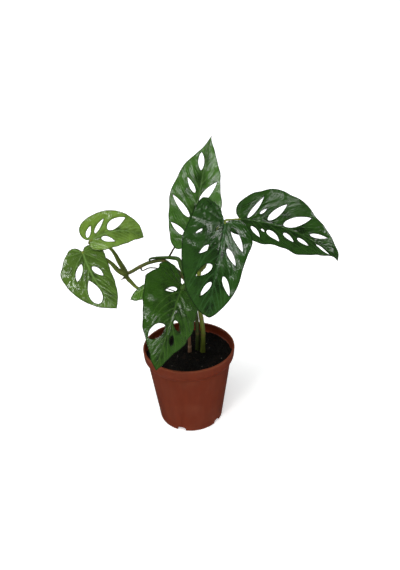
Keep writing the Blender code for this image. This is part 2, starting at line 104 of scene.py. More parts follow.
# Pot sizes that its box doesn't give.
FOOT_RADIUS = 42.5 * MM
COLLAR_HEIGHT = 15 * MM
COLLAR_STEP = 3.6 * MM
COLLAR_TAPER = 0.9 * MM
POT_WALL = 1.6 * MM
LIP_WIDTH = 2.6 * MM
LIP_HEIGHT = 2.0 * MM
FLOOR_RISE = 7 * MM
FLOOR_THICKNESS = 1.6 * MM
FOOT_WIDTH = 3.0 * MM
BOSS_RADIUS = 18 * MM
BOSS_SLOPE = 5 * MM
NOTCH_COUNT = 5
NOTCH_WIDTH = 12 * MM
NOTCH_HEIGHT = 6 * MM
NOTCH_START = 252
DRAIN_COUNT = 5
DRAIN_RADIUS = 3.2 * MM
GAP = 0.35 * MM
# The circle that the sweep carries the pot's section round. Any radius inside the wall does.
SWEEP_RADIUS = 30 * MM

# The camera: what it looks at and from how far, its tilts, and its sensor and lens in millimetres.
CAMERA_TARGET = (17.1, 0, 197.3)
CAMERA_DISTANCE = 700 * MM
CAMERA_PITCH = 27.48
CAMERA_ROLL = -1.73
SENSOR_SIZE = 36
FOCAL_LENGTH = 35.621053

# Stems and stalks.
MAIN_STEM_RADIUS = 3.2 * MM
RUNNER_RADIUS = 2.8 * MM
ROOTED_STEM_RADIUS = 2.3 * MM
STALK_RADIUS = 1.8 * MM
ROOT_RADIUS = 0.75 * MM
PLANTED_DEPTH = 14 * MM
SCAR_WIDTH = 1.5 * MM
STREAK_LENGTH = 22 * MM
LEAF_SOLID = 1.0 * MM
STALK_SETBACK = 2.0 * MM

# Leaves: how blunt a hole is near the midrib, how far the side veins lean from straight out to the
# tip, and the millimetres of blade in one unit of its flat maps.
HOLE_BLUNTNESS = 0.7
SIDE_VEIN_SLANT = 48
MAP_UNIT = 100

# Each leaf: base is the top of its stalk, from the middle of the soil's surface. heading is
# the compass angle of the midrib from +X, rise its climb, bend and swing how both change by
# the tip, roll and twist the blade's turn about the midrib, fold and cup the climb of each
# half beside the midrib and how much more it climbs by the edge. arrive is the angle at
# which the stalk meets the blade, 0 in line with it and 90 from straight below. An outline
# runs from the notch at the stalk to the tip as (along, out). A hole is (along, out,
# length, width, slant), out being negative on the left half, and slant leaning to the tip. Its
# sixth value is 1 if it is blunt near the midrib, -1 if blunt at its far end and 0 if at neither,
# and stands at HOLE_BLUNTNESS where it isn't given.
# ripple is how far the margin waves, curl how far the tip turns down and lobe how far the lobe
# beside the stalk rolls back, all in millimetres. deep and fresh are the darkest and the lightest
# green of the upper side, under is the underside's, and vein the veins'.
LEAVES = {
    "leaf_back": dict(
        base=(8, 5, 159), heading=68, rise=58, bend=-8, swing=0, roll=-15, twist=12,
        fold=28, cup=12, length=131, arrive=60, ripple=1.1, curl=0, lobe=0, slot="leaf_dark",
        deep="172f0a", fresh="456e2a", under="6f9458", vein="6f9450",
        right=[(-9, 6), (-10, 12), (-4, 18), (9, 26), (22, 34), (37, 39),
               (58, 34), (83, 26), (101, 16), (115, 7), (123, 3)],
        left=[(-12, 6), (-16, 16), (-8, 26), (3, 30), (22, 34),
              (44, 37), (62, 33), (84, 26), (101, 15), (113, 7), (122, 3)],
        holes=[(95, -5.5, 22, 7.5, 80, 0), (63, -12, 20, 6, 50), (35, -20, 33, 8, 38), (8, -19, 23, 7, 27),
               (57, 14, 33, 12, 45), (30, 18, 24, 8, 40), (9, 12, 18, 7, 35)],
    ),
    "leaf_right": dict(
        base=(66, 5, 182), heading=-22, rise=2, bend=-44, swing=18, roll=-18, twist=-12,
        fold=8, cup=12, length=132, arrive=10, ripple=1.2, curl=6, lobe=0, slot="leaf_dark",
        deep="0a1b04", fresh="264615", under="5f8549", vein="456c30",
        right=[(-7, 7), (-8, 20), (2, 33), (18, 42), (33, 45), (48, 41),
               (62, 39), (78, 38), (90, 29), (102, 18), (116, 8)],
        left=[(-6, 8), (-8, 18), (-5, 28), (5, 40), (18, 46), (34, 50),
              (50, 47), (67, 42), (85, 31), (103, 21), (117, 13), (128, 6)],
        holes=[(15, -20, 36, 6, 18), (25, -16, 11, 3.5, 33), (41, -19, 32, 9, 28), (66, -15, 36, 12, 49),
               (95, -9, 22, 5.5, 68), (105, 5, 20, 4, 84), (25, 22, 24, 6, 35), (32, 16, 7, 3, 40),
               (45, 21, 23, 9.5, 45), (62, 14, 17, 7.5, 52), (79, 11, 15, 7, 72)],
    ),
    "leaf_front": dict(
        base=(47, -35, 193), heading=-100, rise=-33, bend=-50, swing=-32, roll=27, twist=6,
        fold=14, cup=0, length=111, arrive=80, ripple=1.3, curl=2, lobe=4, slot="leaf_dark",
        deep="0b1c04", fresh="264716", under="5f8549", vein="44703c",
        right=[(-11, 5), (-21, 12), (-26, 22), (-21, 31), (-8, 38), (13, 44), (35, 47), (50, 43),
               (65, 37), (80, 30), (92, 21), (104, 10)],
        left=[(-4, 5), (-6, 14), (-2, 23), (8, 30), (20, 33), (35, 30),
              (50, 28), (65, 27), (80, 23), (93, 16), (105, 7)],
        holes=[(18, -16, 31, 8, 59), (39, -13, 21, 6, 53), (71, -14, 22, 6, 61), (22, 30, 9, 2.4, 43),
               (11, 9, 7, 2.2, 68), (38, 19, 15, 5, 47), (59, 14, 21, 9, 43), (78, 8, 19, 6, 59)],
    ),
    "leaf_over_rim": dict(
        base=(-5, -25, 107), heading=-102, rise=-9, bend=-40, swing=-12, roll=51, twist=14,
        fold=0, cup=-14, length=111, arrive=-60, ripple=1.4, curl=0, lobe=2, slot="leaf_mid",
        deep="102605", fresh="2f5316", under="86a84e", vein="5f863a",
        right=[(-13, 3), (-24, 10), (-29, 21), (-23, 32), (-13, 38), (-2, 38), (9, 44), (20, 49), (38, 45),
               (56, 40), (73, 33), (86, 24), (99, 13)],
        left=[(-16, 3), (-24, 11), (-17, 25), (-1, 32), (14, 34), (27, 37), (42, 38), (61, 34), (78, 25),
              (94, 13)],
        holes=[(14, 13, 20, 6, 47), (71, 14, 27, 14, 53, 0), (52, -12, 16, 9, 32), (72, -10, 12, 6.5, 80, 0)],
    ),
    "leaf_small": dict(
        base=(-47, -15, 106), heading=-146, rise=-10, bend=-25, swing=0, roll=15, twist=0,
        fold=12, cup=-10, length=26, arrive=30, ripple=0.4, curl=0, lobe=0, slot="leaf_pale",
        deep="1e3c0d", fresh="3f661c", under="8fae62", vein="8fb860",
        right=[(-2, 2), (-2, 4), (1, 5), (7, 5), (15, 4), (22, 2)],
        left=[(-3, 3), (-4, 7), (0, 12), (8, 16), (16, 14), (23, 8)],
        holes=[],
    ),
    "leaf_pale_upper": dict(
        base=(-109, -5, 165), heading=37, rise=18, bend=-62, swing=0, roll=-47, twist=-9,
        fold=18, cup=-5, length=77, arrive=90, ripple=0.8, curl=0, lobe=0, slot="leaf_pale",
        deep="3a5216", fresh="759539", under="9ab56a", vein="8fb860",
        right=[(-6, 4), (-7, 11), (-2, 17), (8, 21), (21, 22), (33, 21), (45, 18), (58, 12), (69, 6)],
        left=[(-6, 4), (-8, 11), (-5, 19), (4, 24), (17, 26), (30, 26), (42, 23), (54, 18), (66, 11),
              (73, 5)],
        holes=[(2, -10, 14, 5, 45), (15, -11, 19, 4.5, 51), (35, -10, 26, 11, 62), (18, 9, 17, 8, 53)],
    ),
    "leaf_pale_lower": dict(
        base=(-118, -20, 156), heading=-71, rise=-22, bend=-6, swing=28, roll=-9, twist=-6,
        fold=-10, cup=-19, length=90, arrive=70, ripple=0.9, curl=0, lobe=0, slot="leaf_pale",
        deep="25390c", fresh="4d6a24", under="96b266", vein="8ab45c",
        right=[(-6, 3), (-11, 8), (-12, 14), (-6, 21), (4, 29), (15, 34),
               (28, 33), (44, 29), (60, 23), (74, 15), (84, 6)],
        left=[(-9, 4), (-12, 11), (-9, 19), (-1, 24), (14, 25), (30, 24),
              (45, 22), (60, 19), (74, 13), (84, 6)],
        holes=[(25, 12, 22, 8, 57, 0), (33, -8, 18, 8, 68, 0.3), (57, 8, 32, 14, 84, -0.8)],
    ),
}

# Stems that stand in the soil: their way from the middle of its surface, their radius there
# and what is left of it at the far end. rings are the places of the scars that old leaves
# left, counted in the way's points.
MAIN_STEM = dict(
    way=[(18, 0, 0), (19, 0, 33), (16, 1, 62), (15, 4, 95), (17, 5, 119)],
    radius=MAIN_STEM_RADIUS, taper=0.85, rings=(0.75, 1.6, 2.5, 3.3),
)
RUNNER = dict(
    way=[
        (11, 5, 0), (12, 5, 37), (9, 7, 66), (4, 8, 87), (-4, 8, 107), (-16, 7, 121),
        (-27, 5, 131), (-43, 3, 130), (-55, 0, 126), (-67, -2, 120), (-73, -3, 118),
    ],
    radius=RUNNER_RADIUS, taper=0.75, rings=(0.7, 2, 4, 6, 8, 9.6),
)
ROOTED_STEM = dict(
    way=[(1, 0, 0), (1, 1, 23), (-1, 4, 53), (-5, 5, 82)],
    radius=ROOTED_STEM_RADIUS, taper=0.7, rings=(0.4, 1.1, 1.9, 2.6),
)


# The Mix node's sockets once it mixes colours: factor, two colours and the result.
FACTOR, FIRST, SECOND, MIXED = 0, 6, 7, 2


def linear(code):
    """An sRGB hex colour as linear RGBA."""
    shares = [int(code[start:start + 2], 16) / 255 for start in (0, 2, 4)]
    made = [share / 12.92 if share <= 0.04045 else ((share + 0.055) / 1.055) ** 2.4 for share in shares]
    return (*made, 1.0)


def colour_property(name, description, code):
    return FloatVectorProperty(
        name=name, description=description, subtype="COLOR", size=4, min=0, max=1, default=linear(code)
    )


def length_property(name, description, default):
    return FloatProperty(name=name, description=description, unit="LENGTH", min=0, default=default)


def strength_property(name, description, default):
    return FloatProperty(name=name, description=description, default=default)


class MonsteraPotSettings(bpy.types.PropertyGroup):
    corner: length_property("Corner", "Rounding of the collar's and the foot's edges", 1.1 * MM)
    segments: IntProperty(name="Segments", description="Steps round the pot", default=168, min=24)
    plastic: colour_property("Plastic", "Colour of the moulded wall", "6a2811")
    wear_and_lip_highlight: colour_property("Worn", "Colour where handling has dulled the plastic", "7d4029")


class MonsteraSoilSettings(bpy.types.PropertyGroup):
    lumps: length_property("Lumps", "Height of the soil's uneven surface", 1.6 * MM)
    crumb: length_property("Crumb", "Half width of the largest peat crumb", 1.5 * MM)
    crumbs: IntProperty(name="Crumbs", description="Peat crumbs on each square metre", default=230000, min=0)
    chips: IntProperty(name="Chips", description="Bark chips on each square metre", default=9000, min=0)
    grit: IntProperty(name="Grit", description="Pale grit grains on each square metre", default=3000, min=0)
    peat: colour_property("Peat", "Colour of the damp peat", "100e0c")
    bark: colour_property("Bark", "Colour of the bark chips", "1f1610")
    seed: IntProperty(name="Seed", description="Start of the random scatter", default=7)


class MonsteraStemSettings(bpy.types.PropertyGroup):
    ring: FloatProperty(name="Ring", description="How far a scar ring stands proud, as a share", default=0.1)
    green: colour_property("Green", "Young stem and stalk", "78852f")
    olive: colour_property("Olive", "Climbing runner", "565c2a")
    brown: colour_property("Brown", "Woody stem and roots", "86634a")


class MonsteraLeafSettings(bpy.types.PropertyGroup):
    thickness: length_property("Thickness", "Thickness of the blade", 0.45 * MM)
    grid: length_property("Grid", "Spacing of the blade's points", 1.25 * MM)
    quilt: length_property("Quilting", "How far the blade swells between its veins", 0.9 * MM)
    pleats: length_property("Pleats", "Height of the fine pleats along the side veins", 0.3 * MM)
    groove: length_property("Groove", "Depth of the midrib's channel", 0.5 * MM)
    ridge: length_property("Ridge", "Height of the midrib under the blade", 1.0 * MM)


class MonsteraStageSettings(bpy.types.PropertyGroup):
    floor: colour_property("Floor", "Colour of the plain floor", "fcfcfa")
    overhead: strength_property("Overhead", "Strength of the wide light above", 1.7)
    window: strength_property("Window", "Strength of the narrow light in front", 0.5)
    glow: strength_property("Glow", "Strength of the floor's own light", 0.5)
    gloss: strength_property("Gloss", "Strength of the lights that only gloss shows", 0.75)
    fill: FloatProperty(name="Fill", description="Power of the side light", unit="POWER", default=0.7)
    sky: strength_property("Sky", "Strength of the even light from all round", 0.3)


def smooth_curve(points, steps):
    """A centripetal Catmull-Rom curve through the points, with this many steps between each two."""
    points = np.asarray(points, float)
    ends = np.vstack([points[:1] * 2 - points[1:2], points, points[-1:] * 2 - points[-2:-1]])
    t = np.arange(steps)[:, None] / steps
    curve = []
    for before, start, end, after in zip(ends, ends[1:], ends[2:], ends[3:]):
        spans = ((before, start), (start, end), (end, after))
        first, middle, last = (np.linalg.norm(far - near) ** 0.5 for near, far in spans)
        straight = end - start
        leave = straight + ((start - before) / first - (end - before) / (first + middle)) * middle
        arrive = straight + ((after - end) / last - (after - start) / (middle + last)) * middle
        curve.append(
            start * (2 * t**3 - 3 * t**2 + 1)
            + leave * (t**3 - 2 * t**2 + t)
            + end * (3 * t**2 - 2 * t**3)
            + arrive * (t**3 - t**2)
        )
    return np.vstack(curve + [points[-1:]])


def feed(tree, node, inputs):
    """Sets a node's inputs. Each is a value, or the socket that feeds it."""
    for key, value in inputs.items():
        if isinstance(value, bpy.types.NodeSocket):
            tree.links.new(value, node.inputs[key])
        else:
            node.inputs[key].default_value = value


def add_node(tree, kind, settings=None, inputs=None):
    """Adds one node with its settings and its inputs."""
    node = tree.nodes.new(kind)
    for key, value in (settings or {}).items():
        setattr(node, key, value)
    feed(tree, node, inputs or {})
    return node


def worked(tree, operation, *values, clamp=False):
    """The result of one sum on the values."""
    settings = {"operation": operation, "use_clamp": clamp}
    return add_node(tree, "ShaderNodeMath", settings, dict(enumerate(values))).outputs[0]


def remap(tree, value, low, high, to_low=0.0, to_high=1.0, way="LINEAR"):
    """The value with its run from low to high turned into one from to_low to to_high."""
    inputs = {"Value": value, "From Min": low, "From Max": high, "To Min": to_low, "To Max": to_high}
    return add_node(tree, "ShaderNodeMapRange", {"interpolation_type": way}, inputs).outputs[0]


def blend(tree, share, first, second):
    """The first colour where share is 0, the second where it is 1."""
    inputs = {FACTOR: share, FIRST: first, SECOND: second}
    return add_node(tree, "ShaderNodeMix", {"data_type": "RGBA"}, inputs).outputs[MIXED]


def patches(tree, place, scale, detail):
    """Soft random patches from 0 to 1, with scale of them along each unit of the place."""
    inputs = {"Vector": place, "Scale": scale, "Detail": detail}
    return add_node(tree, "ShaderNodeTexNoise", inputs=inputs).outputs["Fac"]


def bumped(tree, height, strength, distance, **under):
    """A surface raised by the height, on top of the Normal given, if any."""
    inputs = {"Height": height, "Strength": strength, "Distance": distance, **under}
    return add_node(tree, "ShaderNodeBump", inputs=inputs).outputs[0]


def object_place(tree):
    return add_node(tree, "ShaderNodeTexCoord").outputs["Object"]


def read_mark(tree, name):
    """A number that the mesh carries for each point."""
    return add_node(tree, "ShaderNodeAttribute", {"attribute_name": name}).outputs["Fac"]


def flat_place(tree, layer):
    return add_node(tree, "ShaderNodeUVMap", {"uv_map": layer}).outputs["UV"]


def new_material(name):
    """A material with a bare Principled shader: the material, its node tree and the shader."""
    made = bpy.data.materials.new(name)
    made.use_nodes = True
    return made, made.node_tree, made.node_tree.nodes["Principled BSDF"]


def new_object(name, mesh):
    made = bpy.data.objects.new(name, mesh)
    bpy.context.scene.collection.objects.link(made)
    return made


def mesh_of(name, places, faces, materials, face_materials=None, sharp=None):
    """A smooth mesh from points and faces, which keep the way that they are given."""
    mesh = bpy.data.meshes.new(name)
    mesh.from_pydata([tuple(place) for place in places], [], [tuple(map(int, face)) for face in faces])
    for made in materials:
        mesh.materials.append(made)
    if face_materials is not None:
        mesh.polygons.foreach_set("material_index", np.asarray(face_materials, np.int32))
    mesh.shade_smooth()
    if sharp is not None:
        mesh.set_sharp_from_angle(angle=math.radians(sharp))
    mesh.update()
    return mesh


def mark(mesh, name, values):
    """Stores one number for each point of the mesh, for its material to read."""
    made = mesh.attributes.new(name, "FLOAT", "POINT")
    made.data.foreach_set("value", np.asarray(values, np.float32))


def outward(mesh):
    """Turns all faces round if the closed mesh is inside out."""
    data = bmesh.new()
    data.from_mesh(mesh)
    if data.calc_volume(signed=True) < 0:
        bmesh.ops.reverse_faces(data, faces=data.faces)
    data.to_mesh(mesh)
    data.free()


def new_tree(name, sockets):
    """An empty Geometry Nodes tree with these inputs, as (name, kind), and one geometry output."""
    tree = bpy.data.node_groups.new(name, "GeometryNodeTree")
    for label, kind in sockets:
        tree.interface.new_socket(label, in_out="INPUT", socket_type="NodeSocket" + kind)
    tree.interface.new_socket("Geometry", in_out="OUTPUT", socket_type="NodeSocketGeometry")
    return tree, add_node(tree, "NodeGroupInput").outputs


def end_tree(tree, geometry, material):
    """Makes a tree's instances real, gives the whole its material and sends it out."""
    whole = add_node(tree, "GeometryNodeRealizeInstances", inputs={0: geometry})
    painted = add_node(
        tree, "GeometryNodeSetMaterial", inputs={"Geometry": whole.outputs[0], "Material": material}
    )
    add_node(tree, "NodeGroupOutput", inputs={0: painted.outputs[0]})


def grown(name, mesh, tree, inputs):
    """Runs a Geometry Nodes tree on a mesh and returns the result as a plain object."""
    source = bpy.data.objects.new(name, mesh)
    modifier = source.modifiers.new(tree.name, "NODES")
    modifier.node_group = tree
    for item in tree.interface.items_tree:
        if item.in_out == "INPUT" and item.name in inputs:
            modifier[item.identifier] = inputs[item.name]
    bpy.context.scene.collection.objects.link(source)
    graph = bpy.context.evaluated_depsgraph_get()
    result = bpy.data.meshes.new_from_object(source.evaluated_get(graph))
    source.modifiers.remove(modifier)
    source.data = result
    return source


def finished(piece, slot, *nodes):
    """Ties a finished piece to the frame's body and hides the solids that it stands for. The slot is not
    used.
    """
    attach(piece, BODY)
    if nodes:
        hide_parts(*nodes)


# ---------------------------------------------------------------- pot


def body_radius(height):
    """Outer radius of the pot's tapered wall at a height above the foot."""
    shoulder = RIM_RADIUS - COLLAR_TAPER - COLLAR_STEP
    return FOOT_RADIUS + (shoulder - FOOT_RADIUS) * height / (POT_HEIGHT - COLLAR_HEIGHT)


def rounded(corners, steps=4):
    """A chain of points with each corner (radius, height, rounding) turned into a short curve."""
    places = [np.array(corner[:2]) for corner in corners]
    chain = []
    for index, (place, corner) in enumerate(zip(places, corners)):
        size = corner[2] if len(corner) > 2 else 0
        if not size:
            chain.append(place)
            continue
        before, after = places[index - 1] - place, places[index + 1] - place
        start = place + before / np.linalg.norm(before) * min(size, np.linalg.norm(before) * 0.48)
        end = place + after / np.linalg.norm(after) * min(size, np.linalg.norm(after) * 0.48)
        for step in range(steps + 1):
            t = step / steps
            chain.append(start * (1 - t) ** 2 + place * 2 * t * (1 - t) + end * t**2)
    return chain


def pot_section(corner):
    """The pot's section as (radius, height), from the axis under its floor out and back to the axis."""
    shoulder = POT_HEIGHT - COLLAR_HEIGHT
    floor = FLOOR_RISE + FLOOR_THICKNESS
    foot_inner = FOOT_RADIUS - FOOT_WIDTH
    wall = [(body_radius(shoulder * share), shoulder * share) for share in (0.06, 0.2, 0.4, 0.6, 0.8, 0.92)]
    inner_wall = [(radius - POT_WALL, height) for radius, height in wall[:0:-1]]
    return rounded(
        [
            (0, 0),
            (BOSS_RADIUS, 0, corner),
            (BOSS_RADIUS + BOSS_SLOPE, FLOOR_RISE, corner),
            (foot_inner, FLOOR_RISE, corner),
            (foot_inner, 0, corner * 0.6),
            (FOOT_RADIUS, 0, corner),
            *wall,
            (body_radius(shoulder - COLLAR_STEP), shoulder - COLLAR_STEP, corner * 2),
            (RIM_RADIUS - COLLAR_TAPER, shoulder + COLLAR_STEP / 2, corner * 2),
            (RIM_RADIUS, POT_HEIGHT - LIP_HEIGHT),
            (RIM_RADIUS, POT_HEIGHT, LIP_HEIGHT * 0.55),
            (RIM_RADIUS - LIP_WIDTH, POT_HEIGHT, LIP_HEIGHT * 0.4),
            (RIM_RADIUS - LIP_WIDTH, POT_HEIGHT - LIP_HEIGHT, LIP_HEIGHT * 0.3),
            (RIM_RADIUS - POT_WALL, POT_HEIGHT - LIP_HEIGHT - (LIP_WIDTH - POT_WALL)),
            (RIM_RADIUS - COLLAR_TAPER - POT_WALL, shoulder + COLLAR_STEP, corner),
            (body_radius(shoulder) - POT_WALL, shoulder + POT_WALL, corner),
            *inner_wall,
            (body_radius(floor) - POT_WALL, floor, corner),
            (BOSS_RADIUS + BOSS_SLOPE - POT_WALL, floor, corner),
            (BOSS_RADIUS - POT_WALL, FLOOR_THICKNESS, corner),
            (0, FLOOR_THICKNESS),
        ]
    )


def notch_cutter():
    """A prism through the foot ring, lying along +X from the middle of the pot, with a rounded top."""
    half = NOTCH_WIDTH / 2
    turns = [math.radians(angle) for angle in range(0, 181, 20)]
    crown = NOTCH_HEIGHT / 2
    section = [(half, -MM)]
    for turn in turns:
        across = half * math.copysign(abs(math.cos(turn)) ** 0.7, math.cos(turn)) * 0.93
        section.append((across, NOTCH_HEIGHT - crown + crown * math.sin(turn)))
    section.append((-half, -MM))
    data = bmesh.new()
    reach = (FOOT_RADIUS - 2 * FOOT_WIDTH, FOOT_RADIUS + 2 * NOTCH_HEIGHT)
    rings = [[data.verts.new((distance, across, up)) for across, up in section] for distance in reach]
    for step in range(len(section)):
        after = (step + 1) % len(section)
        data.faces.new((rings[0][step], rings[0][after], rings[1][after], rings[1][step]))
    data.faces.new(rings[0])
    data.faces.new(rings[1][::-1])
    bmesh.ops.recalc_face_normals(data, faces=data.faces)
    mesh = bpy.data.meshes.new("notch_cutter")
    data.to_mesh(mesh)
    data.free()
    return bpy.data.objects.new("notch_cutter", mesh)


def turned_pot_tree():
    """Turns a section round the axis and cuts a ring of notches and a ring of drain holes."""
    tree, given = new_tree("turned_pot", [
        ("Section", "Geometry"), ("Segments", "Int"), ("Core", "Float"), ("Notch", "Object"),
        ("Notches", "Int"), ("Notch turn", "Float"), ("Drains", "Int"), ("Drain ring", "Float"),
        ("Drain radius", "Float"), ("Drain height", "Float"), ("Material", "Material"),
    ])
    profile = add_node(tree, "GeometryNodeMeshToCurve", inputs={"Mesh": given["Section"]})
    circle = add_node(
        tree, "GeometryNodeCurvePrimitiveCircle",
        inputs={"Resolution": given["Segments"], "Radius": given["Core"]},
    )
    upright = add_node(
        tree, "GeometryNodeSetCurveNormal", {"mode": "Z_UP"}, {"Curve": circle.outputs["Curve"]}
    )
    swept = add_node(
        tree, "GeometryNodeCurveToMesh",
        inputs={"Curve": upright.outputs["Curve"], "Profile Curve": profile.outputs["Curve"]},
    )
    shell = add_node(
        tree, "GeometryNodeMergeByDistance",
        inputs={"Geometry": swept.outputs["Mesh"], "Distance": 0.01 * MM},
    )
    notch = add_node(tree, "GeometryNodeObjectInfo", inputs={"Object": given["Notch"]})
    drain = add_node(
        tree, "GeometryNodeMeshCylinder",
        inputs={"Vertices": 28, "Radius": given["Drain radius"], "Depth": given["Drain height"]},
    )
    # Each drain hole lies half-way between two notches, in the middle of the floor's thickness.
    spacing = worked(tree, "DIVIDE", 2 * math.pi, given["Drains"])
    drain_turn = worked(tree, "ADD", given["Notch turn"], worked(tree, "MULTIPLY", spacing, 0.5))
    in_floor = (0, 0, FLOOR_RISE + FLOOR_THICKNESS / 2)
    rings = (
        (given["Notches"], 0.001 * MM, notch.outputs["Geometry"], given["Notch turn"], (0, 0, 0)),
        (given["Drains"], given["Drain ring"], drain.outputs["Mesh"], drain_turn, in_floor),
    )
    index = add_node(tree, "GeometryNodeInputIndex").outputs["Index"]
    cut = shell.outputs["Geometry"]
    for count, radius, cutter, start, lift in rings:
        spots = add_node(tree, "GeometryNodeMeshCircle", inputs={"Vertices": count, "Radius": radius})
        turn = worked(tree, "MULTIPLY", index, worked(tree, "DIVIDE", 2 * math.pi, count))
        about = add_node(tree, "ShaderNodeCombineXYZ", inputs={"Z": turn})
        copies = add_node(
            tree, "GeometryNodeInstanceOnPoints",
            inputs={"Points": spots.outputs["Mesh"], "Instance": cutter, "Rotation": about.outputs[0]},
        )
        offset = add_node(tree, "ShaderNodeCombineXYZ", inputs={"Z": start})
        placed = add_node(
            tree, "GeometryNodeTransform",
            inputs={"Geometry": copies.outputs[0], "Rotation": offset.outputs[0], "Translation": lift},
        )
        real = add_node(tree, "GeometryNodeRealizeInstances", inputs={0: placed.outputs[0]})
        boolean = add_node(
            tree, "GeometryNodeMeshBoolean", {"operation": "DIFFERENCE", "solver": "EXACT"},
            {"Mesh 1": cut, "Mesh 2": real.outputs[0]},
        )
        cut = boolean.outputs["Mesh"]
    end_tree(tree, cut, given["Material"])
    return tree


def pot_plastic_material(settings):
    """Injection-moulded polypropylene, brown-red: a satin skin with faint flow streaks from the
    gate in the floor up the wall, a duller, paler bloom where hands and water have been, and a
    paler band round the lip that is partly wear and partly a painted highlight."""
    made, tree, shader = new_material("moulded polypropylene, terracotta brown")
    place = object_place(tree)
    # Flow streaks are 2 to 6 mm wide and run the wall's whole height.
    tall = add_node(tree, "ShaderNodeMapping", inputs={"Vector": place, "Scale": (1, 1, 0.06)})
    flow = patches(tree, tall.outputs[0], 190, 3)
    cloud = patches(tree, place, 38, 5)
    fine = patches(tree, place, 1400, 2)
    height = add_node(tree, "ShaderNodeSeparateXYZ", inputs={0: place}).outputs["Z"]
    # The paler band round the lip is partly wear and partly a painted highlight where its top catches the
    # light.
    lip_wear_and_highlight = remap(tree, height, POT_HEIGHT - 3.5 * MM, POT_HEIGHT, 0, 0.75, "SMOOTHSTEP")
    foot = remap(tree, height, 9 * MM, 0, 0, 0.3, "SMOOTHSTEP")
    bloom = remap(tree, cloud, 0.45, 0.75, 0, 0.35)
    wear_and_lip_highlight = worked(tree, "MAXIMUM", worked(tree, "ADD", lip_wear_and_highlight, foot, clamp=True), bloom)
    base = blend(tree, wear_and_lip_highlight, tuple(settings.plastic), tuple(settings.wear_and_lip_highlight))
    streak = remap(tree, flow, 0.35, 0.65, 0.94, 1.05)
    tinted = add_node(tree, "ShaderNodeHueSaturation", inputs={"Color": base, "Value": streak})
    feed(tree, shader, {
        "Base Color": tinted.outputs[0],
        "Roughness": remap(tree, cloud, 0.3, 0.7, 0.36, 0.52),
        "Normal": bumped(tree, fine, 0.12, 0.1 * MM),
        "Specular IOR Level": 0.12,
    })
    return made


def build_pot(settings):
    section = pot_section(settings.corner)
    # The sweep lays the section's first axis outwards and its second downwards.
    points = [(radius - SWEEP_RADIUS, -height, 0) for radius, height in section]
    mesh = bpy.data.meshes.new("pot_section")
    mesh.from_pydata(points, [(step, step + 1) for step in range(len(points) - 1)], [])
    notch = notch_cutter()
    pot = grown("pot_shell", mesh, turned_pot_tree(), {
        "Segments": settings.segments, "Core": SWEEP_RADIUS, "Notch": notch, "Notches": NOTCH_COUNT,
        "Notch turn": math.radians(NOTCH_START), "Drains": DRAIN_COUNT,
        "Drain ring": (BOSS_RADIUS + BOSS_SLOPE + FOOT_RADIUS - FOOT_WIDTH) / 2,
        "Drain radius": DRAIN_RADIUS, "Drain height": 3 * FLOOR_THICKNESS,
        "Material": pot_plastic_material(settings),
    })
    bpy.data.objects.remove(notch)
    outward(pot.data)
    pot.data.shade_smooth()
    pot.data.set_sharp_from_angle(angle=math.radians(32))
    finished(pot, "pot_plastic", "pot")


# ---------------------------------------------------------------- soil


def inner_radius(height):
    """Radius of the pot's inner face at a height, less the fit to the soil."""
    shoulder = POT_HEIGHT - COLLAR_HEIGHT
    if height < shoulder + POT_WALL:
        return body_radius(height) - POT_WALL - GAP
    top = RIM_RADIUS - POT_WALL - GAP
    low = RIM_RADIUS - COLLAR_TAPER - POT_WALL - GAP
    span = POT_HEIGHT - LIP_HEIGHT - shoulder - COLLAR_STEP
    return low + (top - low) * max(0, height - shoulder - COLLAR_STEP) / span


def soil_height(x, y, lumps):
    """Height of the soil's surface: broad lumps, small crumbs, and a little heap round each stem."""
    broad = noise.fractal(Vector((x, y, 0)) / (17 * MM), 0.9, 2.1, 4)
    small = noise.fractal(Vector((x, y, 5 * MM)) / (3.2 * MM), 0.7, 2.0, 3)
    heap = 0
    for stem in (MAIN_STEM, RUNNER, ROOTED_STEM):
        foot = stem["way"][0]
        away = math.hypot(x - foot[0] * MM, y - foot[1] * MM)
        heap = max(heap, math.exp(-((away / (8 * MM)) ** 2)))
    return SOIL_TOP - lumps * 0.9 + lumps * (0.75 * broad + 0.3 * small + 0.55 * heap)


def peat_material(name, base, dry, rough):
    """Damp peat: near-black fibres and crumbs, a little glossy where water stands in the pores."""
    made, tree, shader = new_material(name)
    place = object_place(tree)
    crumb = patches(tree, place, 420, 6)
    feed(tree, shader, {
        "Base Color": blend(tree, remap(tree, crumb, 0.52, 0.8, 0, 0.8), base, linear(dry)),
        "Roughness": remap(tree, patches(tree, place, 75, 3), 0.35, 0.65, rough - 0.2, rough),
        "Normal": bumped(tree, crumb, 0.7, 0.8 * MM),
        "Specular IOR Level": 0.12,
    })
    return made


